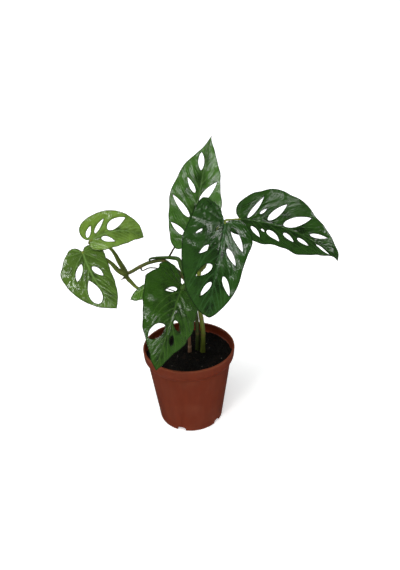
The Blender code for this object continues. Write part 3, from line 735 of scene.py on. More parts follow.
def build_soil_bed(settings):
    """The soil as one closed body: an uneven top, and sides that follow the pot's inner face."""
    segments, rings = 150, 46
    edge = inner_radius(SOIL_TOP)
    places = [(0, 0, soil_height(0, 0, settings.lumps))]
    for ring in range(1, rings + 1):
        radius = edge * ring / rings
        for step in range(segments):
            turn = 2 * math.pi * (step + 0.5 * (ring % 2)) / segments
            x, y = radius * math.cos(turn), radius * math.sin(turn)
            sink = 0.8 * MM * max(0, (ring / rings - 0.9) / 0.1)
            places.append((x, y, soil_height(x, y, settings.lumps) - sink))
    top_points = len(places)
    floor = FLOOR_RISE + FLOOR_THICKNESS + GAP
    depths = [SOIL_TOP - 6 * MM, POT_HEIGHT - COLLAR_HEIGHT, POT_HEIGHT / 2, floor]
    for height in depths:
        radius = inner_radius(height)
        for step in range(segments):
            turn = 2 * math.pi * step / segments
            places.append((radius * math.cos(turn), radius * math.sin(turn), height))
    places.append((0, 0, floor))
    faces = []
    for step in range(segments):
        faces.append((0, 1 + step, 1 + (step + 1) % segments))
    for ring in range(rings + len(depths) - 1):
        inner, outer = 1 + ring * segments, 1 + (ring + 1) * segments
        for step in range(segments):
            after = (step + 1) % segments
            faces.append((inner + step, outer + step, outer + after))
            faces.append((inner + step, outer + after, inner + after))
    last = 1 + (rings + len(depths) - 1) * segments
    for step in range(segments):
        faces.append((len(places) - 1, last + (step + 1) % segments, last + step))
    peat = peat_material("damp peat soil", tuple(settings.peat), "1f1914", 0.85)
    mesh = mesh_of("soil_bed", places, faces, [peat])
    outward(mesh)
    bed = new_object("soil_bed", mesh)
    finished(bed, "soil", "soil")
    # Only the top, less its last ring, as the ground that the grains lie on.
    ground_points = 1 + (rings - 1) * segments
    ground_faces = [face for face in faces if max(face) < ground_points]
    return mesh_of("soil_ground", places[:top_points], ground_faces, [])


def grain_shape(name, seed, stretch, faces_level):
    """One rough grain about a millimetre in half width, of a few dozen faces."""
    data = bmesh.new()
    bmesh.ops.create_icosphere(data, subdivisions=faces_level, radius=MM)
    for vert in data.verts:
        swell = 1 + 0.45 * noise.noise(vert.co / (0.9 * MM) + Vector((seed * 7.3, 0, 0)))
        vert.co = Vector((vert.co.x * stretch[0], vert.co.y * stretch[1], vert.co.z * stretch[2])) * swell
    mesh = bpy.data.meshes.new(name)
    data.to_mesh(mesh)
    data.free()
    return bpy.data.objects.new(name, mesh)


def scatter_tree():
    """Strews grains over a ground at random, turned every way and of mixed size."""
    tree, given = new_tree("strewn_grains", [
        ("Ground", "Geometry"), ("Density", "Float"), ("Smallest", "Float"), ("Largest", "Float"),
        ("Tilt", "Float"), ("Seed", "Int"), ("Grains", "Collection"), ("Material", "Material"),
    ])
    seed, tilt = given["Seed"], given["Tilt"]
    spots = add_node(
        tree, "GeometryNodeDistributePointsOnFaces", {"distribute_method": "RANDOM"},
        {"Mesh": given["Ground"], "Density": given["Density"], "Seed": seed},
    )
    grains = add_node(
        tree, "GeometryNodeCollectionInfo",
        inputs={"Collection": given["Grains"], "Separate Children": True, "Reset Children": True},
    )
    least = worked(tree, "MULTIPLY", tilt, -1.0)
    lowest = add_node(tree, "ShaderNodeCombineXYZ", inputs={0: least, 1: least})
    highest = add_node(tree, "ShaderNodeCombineXYZ", inputs={0: tilt, 1: tilt, 2: 2 * math.pi})
    turn = add_node(
        tree, "FunctionNodeRandomValue", {"data_type": "FLOAT_VECTOR"},
        {0: lowest.outputs[0], 1: highest.outputs[0], "Seed": seed},
    )
    size = add_node(
        tree, "FunctionNodeRandomValue", {"data_type": "FLOAT"},
        {2: given["Smallest"], 3: given["Largest"], "Seed": seed},
    )
    strewn = add_node(
        tree, "GeometryNodeInstanceOnPoints",
        inputs={"Points": spots.outputs["Points"], "Instance": grains.outputs[0], "Pick Instance": True,
                "Rotation": turn.outputs[0], "Scale": size.outputs[1]},
    )
    end_tree(tree, strewn.outputs[0], given["Material"])
    return tree


def grit_material():
    """Perlite: puffed volcanic glass, off-white, matt and pitted, greyed by the peat on it."""
    made, tree, shader = new_material("perlite grit")
    stain = patches(tree, object_place(tree), 520, 4)
    feed(tree, shader, {
        "Base Color": blend(tree, stain, linear("8f8a80"), linear("4a423a")),
        "Roughness": 0.9,
        "Normal": bumped(tree, stain, 0.5, 0.3 * MM),
    })
    return made


def build_grains(settings, ground):
    """Peat crumbs, bark chips and grit on the soil."""
    tree = scatter_tree()
    crumb = settings.crumb / MM
    kinds = [
        ("soil_crumbs", settings.crumbs, 0.25 * crumb, crumb, math.pi, 1, (1, 0.85, 0.7),
         peat_material("peat crumbs", tuple(settings.peat), "2a221b", 0.95)),
        ("bark_chips", settings.chips, 0.9, 2.6, 0.5, 2, (1.5, 0.75, 0.28),
         peat_material("composted pine bark", tuple(settings.bark), "3a2b20", 0.9)),
        ("grit_grains", settings.grit, 0.3, 0.85, math.pi, 2, (1, 0.9, 0.8), grit_material()),
    ]
    for order, (name, density, smallest, largest, tilt, level, stretch, finish) in enumerate(kinds):
        shapes = bpy.data.collections.new(name + "_shapes")
        for seed in range(3):
            shapes.objects.link(grain_shape(f"{name}_{seed}", seed + 3 * order, stretch, level))
        piece = grown(name, ground.copy(), tree, {
            "Density": float(density), "Smallest": smallest, "Largest": largest, "Tilt": tilt,
            "Seed": settings.seed + order, "Grains": shapes, "Material": finish,
        })
        for shape in list(shapes.objects):
            bpy.data.objects.remove(shape)
        bpy.data.collections.remove(shapes)
        finished(piece, "soil")
    bpy.data.meshes.remove(ground)


# ---------------------------------------------------------------- stems, stalks and roots


def unit(vector):
    return vector / np.linalg.norm(vector)


def from_soil(way):
    """Points given from the middle of the soil's surface, in the pot's frame."""
    return np.array(way, float) * MM + (0, 0, SOIL_TOP)


def planted(way):
    """A stem's way with its foot in the soil."""
    placed = from_soil(way)
    foot = placed[0] - (0, 0, PLANTED_DEPTH)
    return np.vstack([foot, (foot + placed[0]) / 2, placed])


def stem_radius(stem, place):
    """A stem's radius at a place counted in its own points."""
    return stem["radius"] * (1 + (stem["taper"] - 1) * place / (len(stem["way"]) - 1))


def beside(stem, index, outward_way):
    """Three points that lead out of a stem: one inside it, and two in line outside it."""
    way = from_soil(stem["way"])
    direction = unit(way[index] - way[index - 1])
    out = np.array(outward_way, float)
    out = unit(out - direction * (out @ direction))
    radius = stem_radius(stem, index)
    first = way[index] + out * (radius + 1.5 * GAP)
    return [way[index] + out * radius * 0.2, first, first + out * 2.5 * MM]


def alongside(stem, place, outward_way):
    """A point of a stalk that lies along a stem. place counts the stem's own points."""
    steps = 10
    fine = smooth_curve(from_soil(stem["way"]), steps)
    index = round(place * steps)
    direction = unit(fine[index + 1] - fine[index - 1])
    out = np.array(outward_way, float)
    out = unit(out - direction * (out @ direction))
    return fine[index] + out * (stem_radius(stem, place) + STALK_RADIUS + 2 * GAP)


def even_path(way, step):
    """A smooth curve through the way's points in even steps, and how far along it each step is."""
    fine = smooth_curve(way, 12)
    travelled = np.concatenate([[0], np.cumsum(np.linalg.norm(np.diff(fine, axis=0), axis=1))])
    wanted = np.linspace(0, travelled[-1], max(2, round(travelled[-1] / step)) + 1)
    return np.stack([np.interp(wanted, travelled, fine[:, axis]) for axis in range(3)], 1), wanted


def bumps(distance, centres, width):
    """1 at each centre along a stem, falling to 0 a width away."""
    height = np.zeros_like(distance)
    for centre in centres:
        height = np.maximum(height, np.exp(-(((distance - centre) / width) ** 2)))
    return height


def skin_tube(name, way, radius_at, rings=(), ring_height=0.1, sides=18, step=1.5 * MM, wobble=0.03,
              material=None):
    """A round-ended tube along a smooth way. It marks its points with age, ring and streak.

    radius_at gives the radius from the distance along the tube and its whole length, and
    rings are distances along it where an old leaf left a proud scar.
    """
    path, distance = even_path(way, step)
    length = distance[-1]
    scar = bumps(distance, rings, SCAR_WIDTH)
    radius = radius_at(distance, length) * (1 + ring_height * scar)
    tangents = np.gradient(path, axis=0)
    tangents /= np.linalg.norm(tangents, axis=1)[:, None]

    def dome(end, outwards, angles):
        """Rows of the round cap at one end: place, tangent, radius, distance along and scar."""
        return [
            (path[end] + outwards * tangents[end] * radius[end] * math.sin(angle), tangents[end],
             radius[end] * math.cos(angle), distance[end], scar[end])
            for angle in map(math.radians, angles)
        ]

    rows = dome(0, -1, (75, 50, 25)) + list(zip(path, tangents, radius, distance, scar))
    rows += dome(-1, 1, (25, 50, 75))
    across = unit(np.cross(tangents[0], (0.31, 0.52, 0.79)))
    points, age, ring, streak = [], [], [], []
    for place, tangent, size, far, scar_here in rows:
        across = unit(across - tangent * (across @ tangent))
        other = np.cross(tangent, across)
        for side in range(sides):
            turn = 2 * math.pi * side / sides
            spot = Vector((math.cos(turn) * 1.3, math.sin(turn) * 1.3, far / STREAK_LENGTH))
            rough = noise.fractal(spot * 1.5 + Vector((len(name), 0, 0)), 1, 2, 3)
            swell = size * (1 + wobble * rough)
            points.append(place + (across * math.cos(turn) + other * math.sin(turn)) * swell)
            age.append(far / length)
            ring.append(scar_here)
            streak.append(0.5 + 0.5 * noise.noise(Vector((spot.x * 2.2, spot.y * 2.2, spot.z * 0.5))))
    points += [path[0] - tangents[0] * radius[0], path[-1] + tangents[-1] * radius[-1]]
    age += [0, 1]
    ring += [scar[0], scar[-1]]
    streak += [0.5, 0.5]
    faces = []
    last = (len(rows) - 1) * sides
    for side in range(sides):
        after = (side + 1) % sides
        for low in range(0, last, sides):
            high = low + sides
            faces.append((low + side, low + after, high + after, high + side))
        faces.append((len(points) - 2, after, side))
        faces.append((len(points) - 1, last + side, last + after))
    mesh = mesh_of(name, points, faces, [material])
    outward(mesh)
    for label, values in (("age", age), ("ring", ring), ("streak", streak)):
        mark(mesh, label, values)
    return new_object(name, mesh)


def stem_material(name, young, old, scar, rough):
    """Living stem skin: waxy and satin, with fine lengthwise streaks and corky leaf scars."""
    made, tree, shader = new_material(name)
    place = object_place(tree)
    grown_out = worked(tree, "MULTIPLY_ADD", patches(tree, place, 90, 4), 0.9, -0.45, clamp=True)
    share = worked(tree, "ADD", read_mark(tree, "age"), grown_out, clamp=True)
    line = remap(tree, read_mark(tree, "streak"), 0.25, 0.75, 0.72, 1.22)
    lined = add_node(
        tree, "ShaderNodeHueSaturation", inputs={"Color": blend(tree, share, old, young), "Value": line}
    )
    corky = worked(tree, "MULTIPLY", read_mark(tree, "ring"), 0.75)
    feed(tree, shader, {
        "Base Color": blend(tree, corky, lined.outputs[0], scar),
        "Roughness": rough,
        "Normal": bumped(tree, patches(tree, place, 520, 4), 0.35, 0.25 * MM),
        "Specular IOR Level": 0.25,
    })
    return made


def ring_distances(stem):
    """How far along the planted tube each of a stem's scars is."""
    way = planted(stem["way"])
    found = []
    for place in stem["rings"]:
        fine = smooth_curve(way, 10)[: round((place + 2) * 10) + 1]
        found.append(np.linalg.norm(np.diff(fine, axis=0), axis=1).sum())
    return found


def build_stems(settings):
    """The three stems that stand in the soil."""
    finishes = {
        "main_stem": stem_material("fresh green stem", tuple(settings.green), linear("505a1e"),
                                   linear("6b5a2e"), 0.42),
        "runner": stem_material("olive climbing stem", tuple(settings.olive), linear("3d4a20"),
                                linear("6a5636"), 0.5),
        "rooted_stem": stem_material("corky brown stem", linear("7c5a40"), tuple(settings.brown),
                                     linear("c0a084"), 0.7),
    }
    slots = {"main_stem": "stem_green", "runner": "stem_olive", "rooted_stem": "stem_brown"}
    for name, stem in (("main_stem", MAIN_STEM), ("runner", RUNNER), ("rooted_stem", ROOTED_STEM)):
        way = planted(stem["way"])
        if name == "rooted_stem":
            inside_runner, end, before = beside(RUNNER, 4, (-1, -0.3, -0.4))
            way = np.vstack([way, before, end, inside_runner])

        def radius_at(distance, length, stem=stem):
            taper = 1 + (stem["taper"] - 1) * distance / length
            collar = 0.22 * np.exp(-(((distance - PLANTED_DEPTH) / (5 * MM)) ** 2))
            return stem["radius"] * (taper + collar)

        piece = skin_tube(
            name + "_skin", way, radius_at, ring_distances(stem), settings.ring,
            step=1.4 * MM, material=finishes[name],
        )
        finished(piece, slots[name], name)


def stalk_end(leaf):
    """The last points of a leaf's stalk, ending in the blade at its notch."""
    along, _, above = (direction[0] for direction in blade_frames(leaf, np.array([0.0])))
    arrive = math.radians(leaf["arrive"])
    direction = along * math.cos(arrive) + above * math.sin(arrive)
    droop = max(0, -math.sin(math.radians(leaf["fold"]))) * STALK_RADIUS
    lean = abs(math.sin(2 * arrive)) / 2 * STALK_RADIUS
    offset = math.copysign(LEAF_SOLID / 2 + GAP + droop + lean, leaf["arrive"])
    base = np.array(leaf["base"]) * MM + (0, 0, SOIL_TOP)
    end = base - along * STALK_SETBACK - above * offset
    joint = base - above * math.copysign(0.5 * MM, leaf["arrive"])
    return [end - direction * 8 * MM, end - direction * 3 * MM, end, joint]


def build_stalks(settings):
    """Leaf stalks: a clasping sheath at the stem, a slim way, and a swollen knee under the blade."""
    over_runner = beside(RUNNER, 7, (0, -0.3, 1))
    over_runner += [alongside(RUNNER, 6.5, (0, -0.3, 1)), alongside(RUNNER, 6, (0, -0.3, 1))]
    green = stem_material(
        "green leaf stalk", tuple(settings.green), linear("4a5420"), linear("6f6a34"), 0.42
    )
    dark = stem_material(
        "dark green leaf stalk", linear("3e5c1f"), linear("2c4214"), linear("4c5426"), 0.4
    )
    # Each stalk's girth at its stem and at its blade, as shares of the stalk radius, its finish, the
    # points that lead it out of its stem, and those on its way to its leaf.
    stalks = [
        ("back", (1.35, 0.7), green, beside(MAIN_STEM, 4, (-1, 0.4, 0.2)), [(10, 12, 137)]),
        ("right", (1.35, 0.7), green, beside(MAIN_STEM, 4, (1, 0.5, 0.3)),
         [(29, 10, 140), (38, 9, 166), (50, 7, 180)]),
        ("front", (1.35, 0.7), green, beside(MAIN_STEM, 4, (0.4, -1, 0.3)),
         [(23, -14, 137), (33, -26, 162)]),
        ("over_rim", (0.7, 1.6), dark, over_runner, [(-16, -1, 137), (-8, -4, 136), (-4, -10, 127)]),
        ("pale_upper", (1.9, 0.85), green, beside(RUNNER, 10, (0, 0.7, 1)),
         [(-80, 2, 132), (-86, 2, 146), (-92, 2, 153), (-103, 4, 158)]),
        ("pale_lower", (1.9, 0.85), green, beside(RUNNER, 10, (-0.6, -1, 0.2)),
         [(-81, -7, 125), (-88, -8, 135), (-97, -9, 143), (-112, -9, 147)]),
        ("small", (1.5, 0.8), green, beside(RUNNER, 10, (0.6, -0.6, -1)),
         [(-67, -7, 109), (-58, -11, 102)]),
    ]

    for leaf, girth, finish, start, way in stalks:
        name = "stalk_" + leaf
        whole = np.vstack([start, from_soil(way), stalk_end(LEAVES["leaf_" + leaf])])

        def radius_at(distance, length, girth=girth):
            at_stem, at_blade = girth
            change = np.exp(-((distance / (0.4 * length)) ** 2))
            knee = 0.14 * np.exp(-(((length - distance - 5 * MM) / (4 * MM)) ** 2))
            return STALK_RADIUS * (at_blade + (at_stem - at_blade) * change + knee)

        piece = skin_tube(name + "_skin", whole, radius_at, sides=16, material=finish)
        finished(piece, "stem_green", name)


def build_roots():
    """Slender aerial roots along the runner, each with a paler growing tip."""
    roots = [
        ("aerial_root_short", 2.1, beside(RUNNER, 10, (-1, 0.4, -1)), [(-79, -2, 110)]),
        ("aerial_root_low", 1.0, beside(RUNNER, 8, (0.3, -0.3, -1)),
         [(-43, 0, 124), (-31, 0, 121), (-27, 1, 108), (-25, 2, 95), (-12, 4, 86), (-9, 2, 60), (-12, -2, 30),
          (-14, -4, 2)]),
        ("aerial_root_high", 1.6, beside(RUNNER, 6, (0, 1, 0.3)),
         [(-22, 9, 132), (-17, 8, 139), (-14, 9, 144), (-8, 12, 149), (4, 14, 148)]),
    ]
    finish = stem_material("corky aerial root", linear("4a4428"), linear("3a3220"), linear("6f5c40"), 0.75)

    for name, girth, start, way in roots:
        whole = np.vstack([start, from_soil(way)])

        def radius_at(distance, length, girth=girth):
            taper = girth - 0.25 * distance / length
            collar = 0.8 * np.exp(-((distance / (3 * MM)) ** 2))
            tip = np.clip((length - distance) / (4 * MM), 0.35, 1)
            return ROOT_RADIUS * (taper + collar) * tip

        piece = skin_tube(
            name + "_skin", whole, radius_at, sides=10, step=1.0 * MM, wobble=0.16, material=finish
        )
        finished(piece, "stem_brown", name)


# ---------------------------------------------------------------- leaves


def blade_frames(leaf, fraction):
    """The blade's directions at each fraction of the midrib: along it, to its right, and up."""
    part = np.clip(fraction, 0, 1)
    heading = np.radians(leaf["heading"] + leaf["swing"] * part)
    rise = np.radians(leaf["rise"] + leaf["bend"] * part)
    roll = np.radians(leaf["roll"] + leaf["twist"] * part)[:, None]
    along = np.stack([np.cos(rise) * np.cos(heading), np.cos(rise) * np.sin(heading), np.sin(rise)], 1)
    level = np.stack([np.sin(heading), -np.cos(heading), np.zeros_like(heading)], 1)
    above = np.cross(level, along)
    right = level * np.cos(roll) + above * np.sin(roll)
    return along, right, np.cross(right, along)


def midrib_points(leaf, fraction):
    """The midrib starts at the base and bends evenly. Behind the base it runs straight on."""
    base = np.array(leaf["base"]) * MM + (0, 0, SOIL_TOP)
    length = leaf["length"] * MM
    pieces = 400
    reach = 1.2
    middles = (np.arange(pieces) + 0.5) / pieces * reach
    steps = blade_frames(leaf, middles)[0] * reach / pieces * length
    chain = np.vstack([np.zeros(3), np.cumsum(steps, axis=0)])
    stations = np.linspace(0, reach, pieces + 1)
    forward = np.stack([np.interp(fraction, stations, chain[:, axis]) for axis in range(3)], 1)
    backward = blade_frames(leaf, np.zeros(1))[0] * np.minimum(fraction, 0)[:, None] * length
    return base + forward + backward


def blade_points(leaf, places, lift):
    """Points of the blade from flat places (along, out), in millimetres, and a lift off it in metres."""
    fraction = places[:, 0] / leaf["length"]
    _, right, above = blade_frames(leaf, fraction)
    widest = max(width for _, width in leaf["right"] + leaf["left"])
    turn = math.radians(leaf["cup"]) / widest
    start = math.radians(leaf["fold"])
    side = np.sign(places[:, 1])
    distance = np.abs(places[:, 1])
    end = start + turn * distance
    if abs(turn) < 1e-9:
        across, climb = distance * math.cos(start), distance * math.sin(start)
    else:
        across = (np.sin(end) - math.sin(start)) / turn
        climb = (math.cos(start) - np.cos(end)) / turn
    surface = midrib_points(leaf, fraction) + (right * (side * across)[:, None] + above * climb[:, None]) * MM
    # The normal turns smoothly from one half to the other across the midrib.
    lean = end * np.clip(distance / 1.5, 0, 1)
    normal = above * np.cos(lean)[:, None] - right * (side * np.sin(lean))[:, None]
    return surface + normal * lift[:, None]


def outline(leaf, steps):
    """The blade's edge, once round from the notch over the right half to the tip and back."""
    notch, tip = (0, 0), (leaf["length"], 0)
    right = smooth_curve([notch, *leaf["right"], tip], steps)
    left = smooth_curve([notch, *[(along, -out) for along, out in leaf["left"]], tip], steps)
    return np.vstack([right, left[-2:0:-1]])


def hole_edge(hole, count):
    """The outline of a leaf hole, in this many points."""
    along, out, length, width, slant, *rest = hole
    blunt = rest[0] if rest else HOLE_BLUNTNESS
    side = math.copysign(1, out)
    reach = np.array([math.sin(math.radians(slant)), side * math.cos(math.radians(slant))])
    across = np.array([reach[1], -reach[0]])
    turn = 2 * math.pi * np.arange(count) / count
    place = -np.cos(turn)
    near, far = 0.75 - 0.25 * blunt, 0.75 + 0.25 * blunt
    peak = -blunt / 3
    fullness = np.abs(1 + place) ** near * np.abs(1 - place) ** far
    fullness *= np.sign(np.sin(turn)) / ((1 + peak) ** near * (1 - peak) ** far)
    middle = np.array([along, out])
    return middle + np.outer(place * length / 2, reach) + np.outer(fullness * width / 2, across)


def inside(places, loop):
    """Whether each place lies inside the loop, by counting crossings."""
    x, y = places.T
    hit = np.zeros(len(places), bool)
    for (ax, ay), (bx, by) in zip(loop, np.roll(loop, -1, axis=0)):
        if ay != by:
            hit ^= ((ay > y) != (by > y)) & (x < ax + (y - ay) / (by - ay) * (bx - ax))
    return hit


def distance_to(places, path):
    """Distance of each place to a chain of straight runs."""
    best = np.full(len(places), np.inf)
    for start, run in zip(path[:-1], np.diff(path, axis=0)):
        share = np.clip(((places - start) @ run) / max(run @ run, 1e-12), 0, 1)
        best = np.minimum(best, np.linalg.norm(places - start - share[:, None] * run, axis=1))
    return best


def vein_paths(leaf):
    """Side veins: they leave the midrib between the holes and sweep towards the tip."""
    length = leaf["length"]
    spacing = length * 0.09
    paths = []
    for side in (1, -1):
        marks = [(-0.06 * length, 30.0)]
        for along, out, _, _, slant, *_ in leaf["holes"]:
            if out * side > 0:
                root = along - abs(out) * math.tan(math.radians(min(slant, 55)))
                marks.append((max(root, 0), float(np.clip(slant, 32, 62))))
        marks = sorted(marks) + [(0.93 * length, 62.0)]
        starts = []
        for (near, lean), (far, far_lean) in zip(marks, marks[1:]):
            count = max(1, round((far - near) / spacing / 1.4))
            for step in range(count):
                share = (step + 0.5) / count
                starts.append((near + (far - near) * share, lean + (far_lean - lean) * share, 22))
        starts += [(0, -12, 6), (0, -42, -8), (0, -68, -14)]
        for along, slant, sweep in starts:
            if along < 0:
                continue
            place = np.array([along, 0.0])
            path = [place]
            for step in range(24):
                angle = math.radians(slant + sweep * step / 16)
                place = place + np.array([math.sin(angle), side * math.cos(angle)]) * 2.6
                path.append(place)
            paths.append(np.array(path))
    return paths


def add_room(kept, wanted, clear):
    """Adds the wanted places that stay clear of those already kept, and of each other if in order."""
    tree = kdtree.KDTree(len(kept))
    for index, (x, y) in enumerate(kept):
        tree.insert((x, y, 0), index)
    tree.balance()
    free = [place for place in wanted if tree.find((place[0], place[1], 0))[2] > clear]
    return np.vstack([kept, free]) if free else kept


def blade_layout(leaf, grid):
    """Flat points and triangles of a blade: edge, holes, midrib, veins and an even filling."""
    edge = outline(leaf, 7)
    holes = [hole_edge(hole, 14 if hole[2] < 12 else 26) for hole in leaf["holes"]]
    loops = [edge] + holes
    rim_points = np.vstack(loops)
    segments = []
    first = 0
    for loop in loops:
        segments += [(first + step, first + (step + 1) % len(loop)) for step in range(len(loop))]
        first += len(loop)

    def on_blade(places):
        good = inside(places, edge)
        for hole in holes:
            good &= ~inside(places, hole)
        return good

    def to_rim(places):
        gaps = [distance_to(places, np.vstack([loop, loop[:1]])) for loop in loops]
        return np.min(gaps, axis=0), gaps[0]

    places = rim_points
    insets = []
    for loop in loops:
        run = np.roll(loop, -1, axis=0) - np.roll(loop, 1, axis=0)
        normal = np.stack([-run[:, 1], run[:, 0]], 1) / np.linalg.norm(run, axis=1)[:, None]
        insets += [loop + normal * 0.5, loop - normal * 0.5]
    insets = np.vstack(insets)
    insets = insets[on_blade(insets)]
    insets = insets[to_rim(insets)[0] > 0.4]
    places = add_room(places, insets, 0.35)
    length = leaf["length"]
    rows = np.arange(1.5, length - 2, 1.7)
    midrib = np.array([(along, out) for along in rows for out in (0, 0.9, -0.9, 2, -2)])
    veins = vein_paths(leaf)
    flanks = [midrib]
    for path in veins:
        fine = smooth_curve(path, 2)[2:]
        run = np.gradient(fine, axis=0)
        normal = np.stack([-run[:, 1], run[:, 0]], 1) / np.linalg.norm(run, axis=1)[:, None]
        flanks += [fine, fine + normal * 0.8, fine - normal * 0.8]
    for group in flanks:
        group = group[on_blade(group)]
        if len(group):
            group = group[to_rim(group)[0] > 0.7]
        if len(group):
            places = add_room(places, group, 0.55)
    rows = np.arange(edge[:, 0].min(), edge[:, 0].max(), grid * 0.87)
    filling = []
    for row, along in enumerate(rows):
        outs = np.arange(edge[:, 1].min(), edge[:, 1].max(), grid) + grid / 2 * (row % 2)
        filling.append(np.stack([np.full_like(outs, along), outs], 1))
    filling = np.vstack(filling)
    filling = filling[on_blade(filling)]
    filling = filling[to_rim(filling)[0] > 0.8]
    places = add_room(places, filling, grid * 0.62)
    made, _, faces, _, _, _ = delaunay_2d_cdt([Vector(place) for place in places], segments, [], 0, 1e-5)
    places = np.array([tuple(place) for place in made])
    faces = np.array([face for face in faces if len(face) == 3])
    faces = faces[on_blade(places[faces].mean(axis=1))]
    used = np.unique(faces)
    renumber = np.full(len(places), -1)
    renumber[used] = np.arange(len(used))
    places = places[used]
    rim, margin = to_rim(places)
    return places, renumber[faces], rim, margin, veins


def vein_net(tree, place):
    """How far each place is from the net of small veins, whose meshes are 1.8 mm wide."""
    net = add_node(
        tree, "ShaderNodeTexVoronoi", {"feature": "DISTANCE_TO_EDGE"}, {"Vector": place, "Scale": 55}
    )
    return net.outputs["Distance"]


def blade_material(name, leaf):
    """Living blade, upper side: a waxy cuticle over deep green, paler along the veins and fresher to
    the margin, with a fine net of small veins between the side veins."""
    made, tree, shader = new_material(name)
    # One unit of either map is 100 mm of blade, so patches are 15 mm wide and mottling is 3 mm.
    place = flat_place(tree, "blade")
    patch = patches(tree, place, 6.5, 3)
    mottle = patches(tree, place, 33, 4)
    net = vein_net(tree, place)
    long_pleats = add_node(
        tree, "ShaderNodeMapping", inputs={"Vector": flat_place(tree, "pleats"), "Scale": (12, 60, 1)}
    )
    pleats = patches(tree, long_pleats.outputs[0], 1, 3)
    half = worked(tree, "MULTIPLY_ADD", read_mark(tree, "spread"), 0.45, -0.42)
    tone = worked(tree, "MULTIPLY_ADD", patch, 1.25, half)
    fleck = worked(tree, "MULTIPLY_ADD", pleats, 0.5, tone, clamp=True)
    green = blend(tree, remap(tree, fleck, 0.3, 0.8), linear(leaf["deep"]), linear(leaf["fresh"]))
    vein_green = linear(leaf["vein"])
    netted = blend(tree, remap(tree, net, 0, 0.12, 0.14, 0), green, vein_green)
    veined = blend(tree, worked(tree, "MULTIPLY", read_mark(tree, "vein"), 0.6), netted, vein_green)
    edge_green = tuple(share * 0.5 for share in linear(leaf["deep"])[:3]) + (1.0,)
    dark_edge = worked(tree, "MULTIPLY", read_mark(tree, "margin"), 0.85)
    meshes = bumped(tree, remap(tree, net, 0, 0.25), 0.25, 0.16 * MM)
    feed(tree, shader, {
        "Base Color": blend(tree, dark_edge, veined, edge_green),
        "Roughness": remap(tree, mottle, 0.3, 0.7, 0.08, 0.2),
        "Normal": bumped(tree, pleats, 1.0, 0.65 * MM, Normal=meshes),
        "Specular IOR Level": 0.5,
    })
    return made


def underside_material(name, leaf):
    """Living blade, underside: no wax, so paler and matt, with its veins standing proud."""
    made, tree, shader = new_material(name)
    place = flat_place(tree, "blade")
    base = blend(tree, patches(tree, place, 22, 4), linear(leaf["fresh"]), linear(leaf["under"]))
    share = worked(tree, "MULTIPLY", read_mark(tree, "vein"), 0.7)
    feed(tree, shader, {
        "Base Color": blend(tree, share, base, linear("a9bf86")),
        "Roughness": 0.6,
        "Normal": bumped(tree, remap(tree, vein_net(tree, place), 0, 0.2, 1, 0), 0.35, 0.15 * MM),
        "Specular IOR Level": 0.2,
    })
    return made


def pleat_places(along, out):
    """Each place measured down the slant of the side veins, and across it."""
    turn = math.radians(SIDE_VEIN_SLANT)
    down_vein = along * math.sin(turn) + np.abs(out) * math.cos(turn)
    over_vein = along * math.cos(turn) - np.abs(out) * math.sin(turn)
    return down_vein, over_vein


def waves(leaf, along, side, spread, phase):
    """How far the margin waves up and down, in two lengths of wave that start anew on each leaf."""
    length = leaf["length"]
    return leaf["ripple"] * MM * spread**2 * (
        np.sin(2 * math.pi * along / (length * 0.27) + phase + side)
        + 0.5 * np.sin(2 * math.pi * along / (length * 0.13) + 2.3 * phase - side)
    ) / 1.5


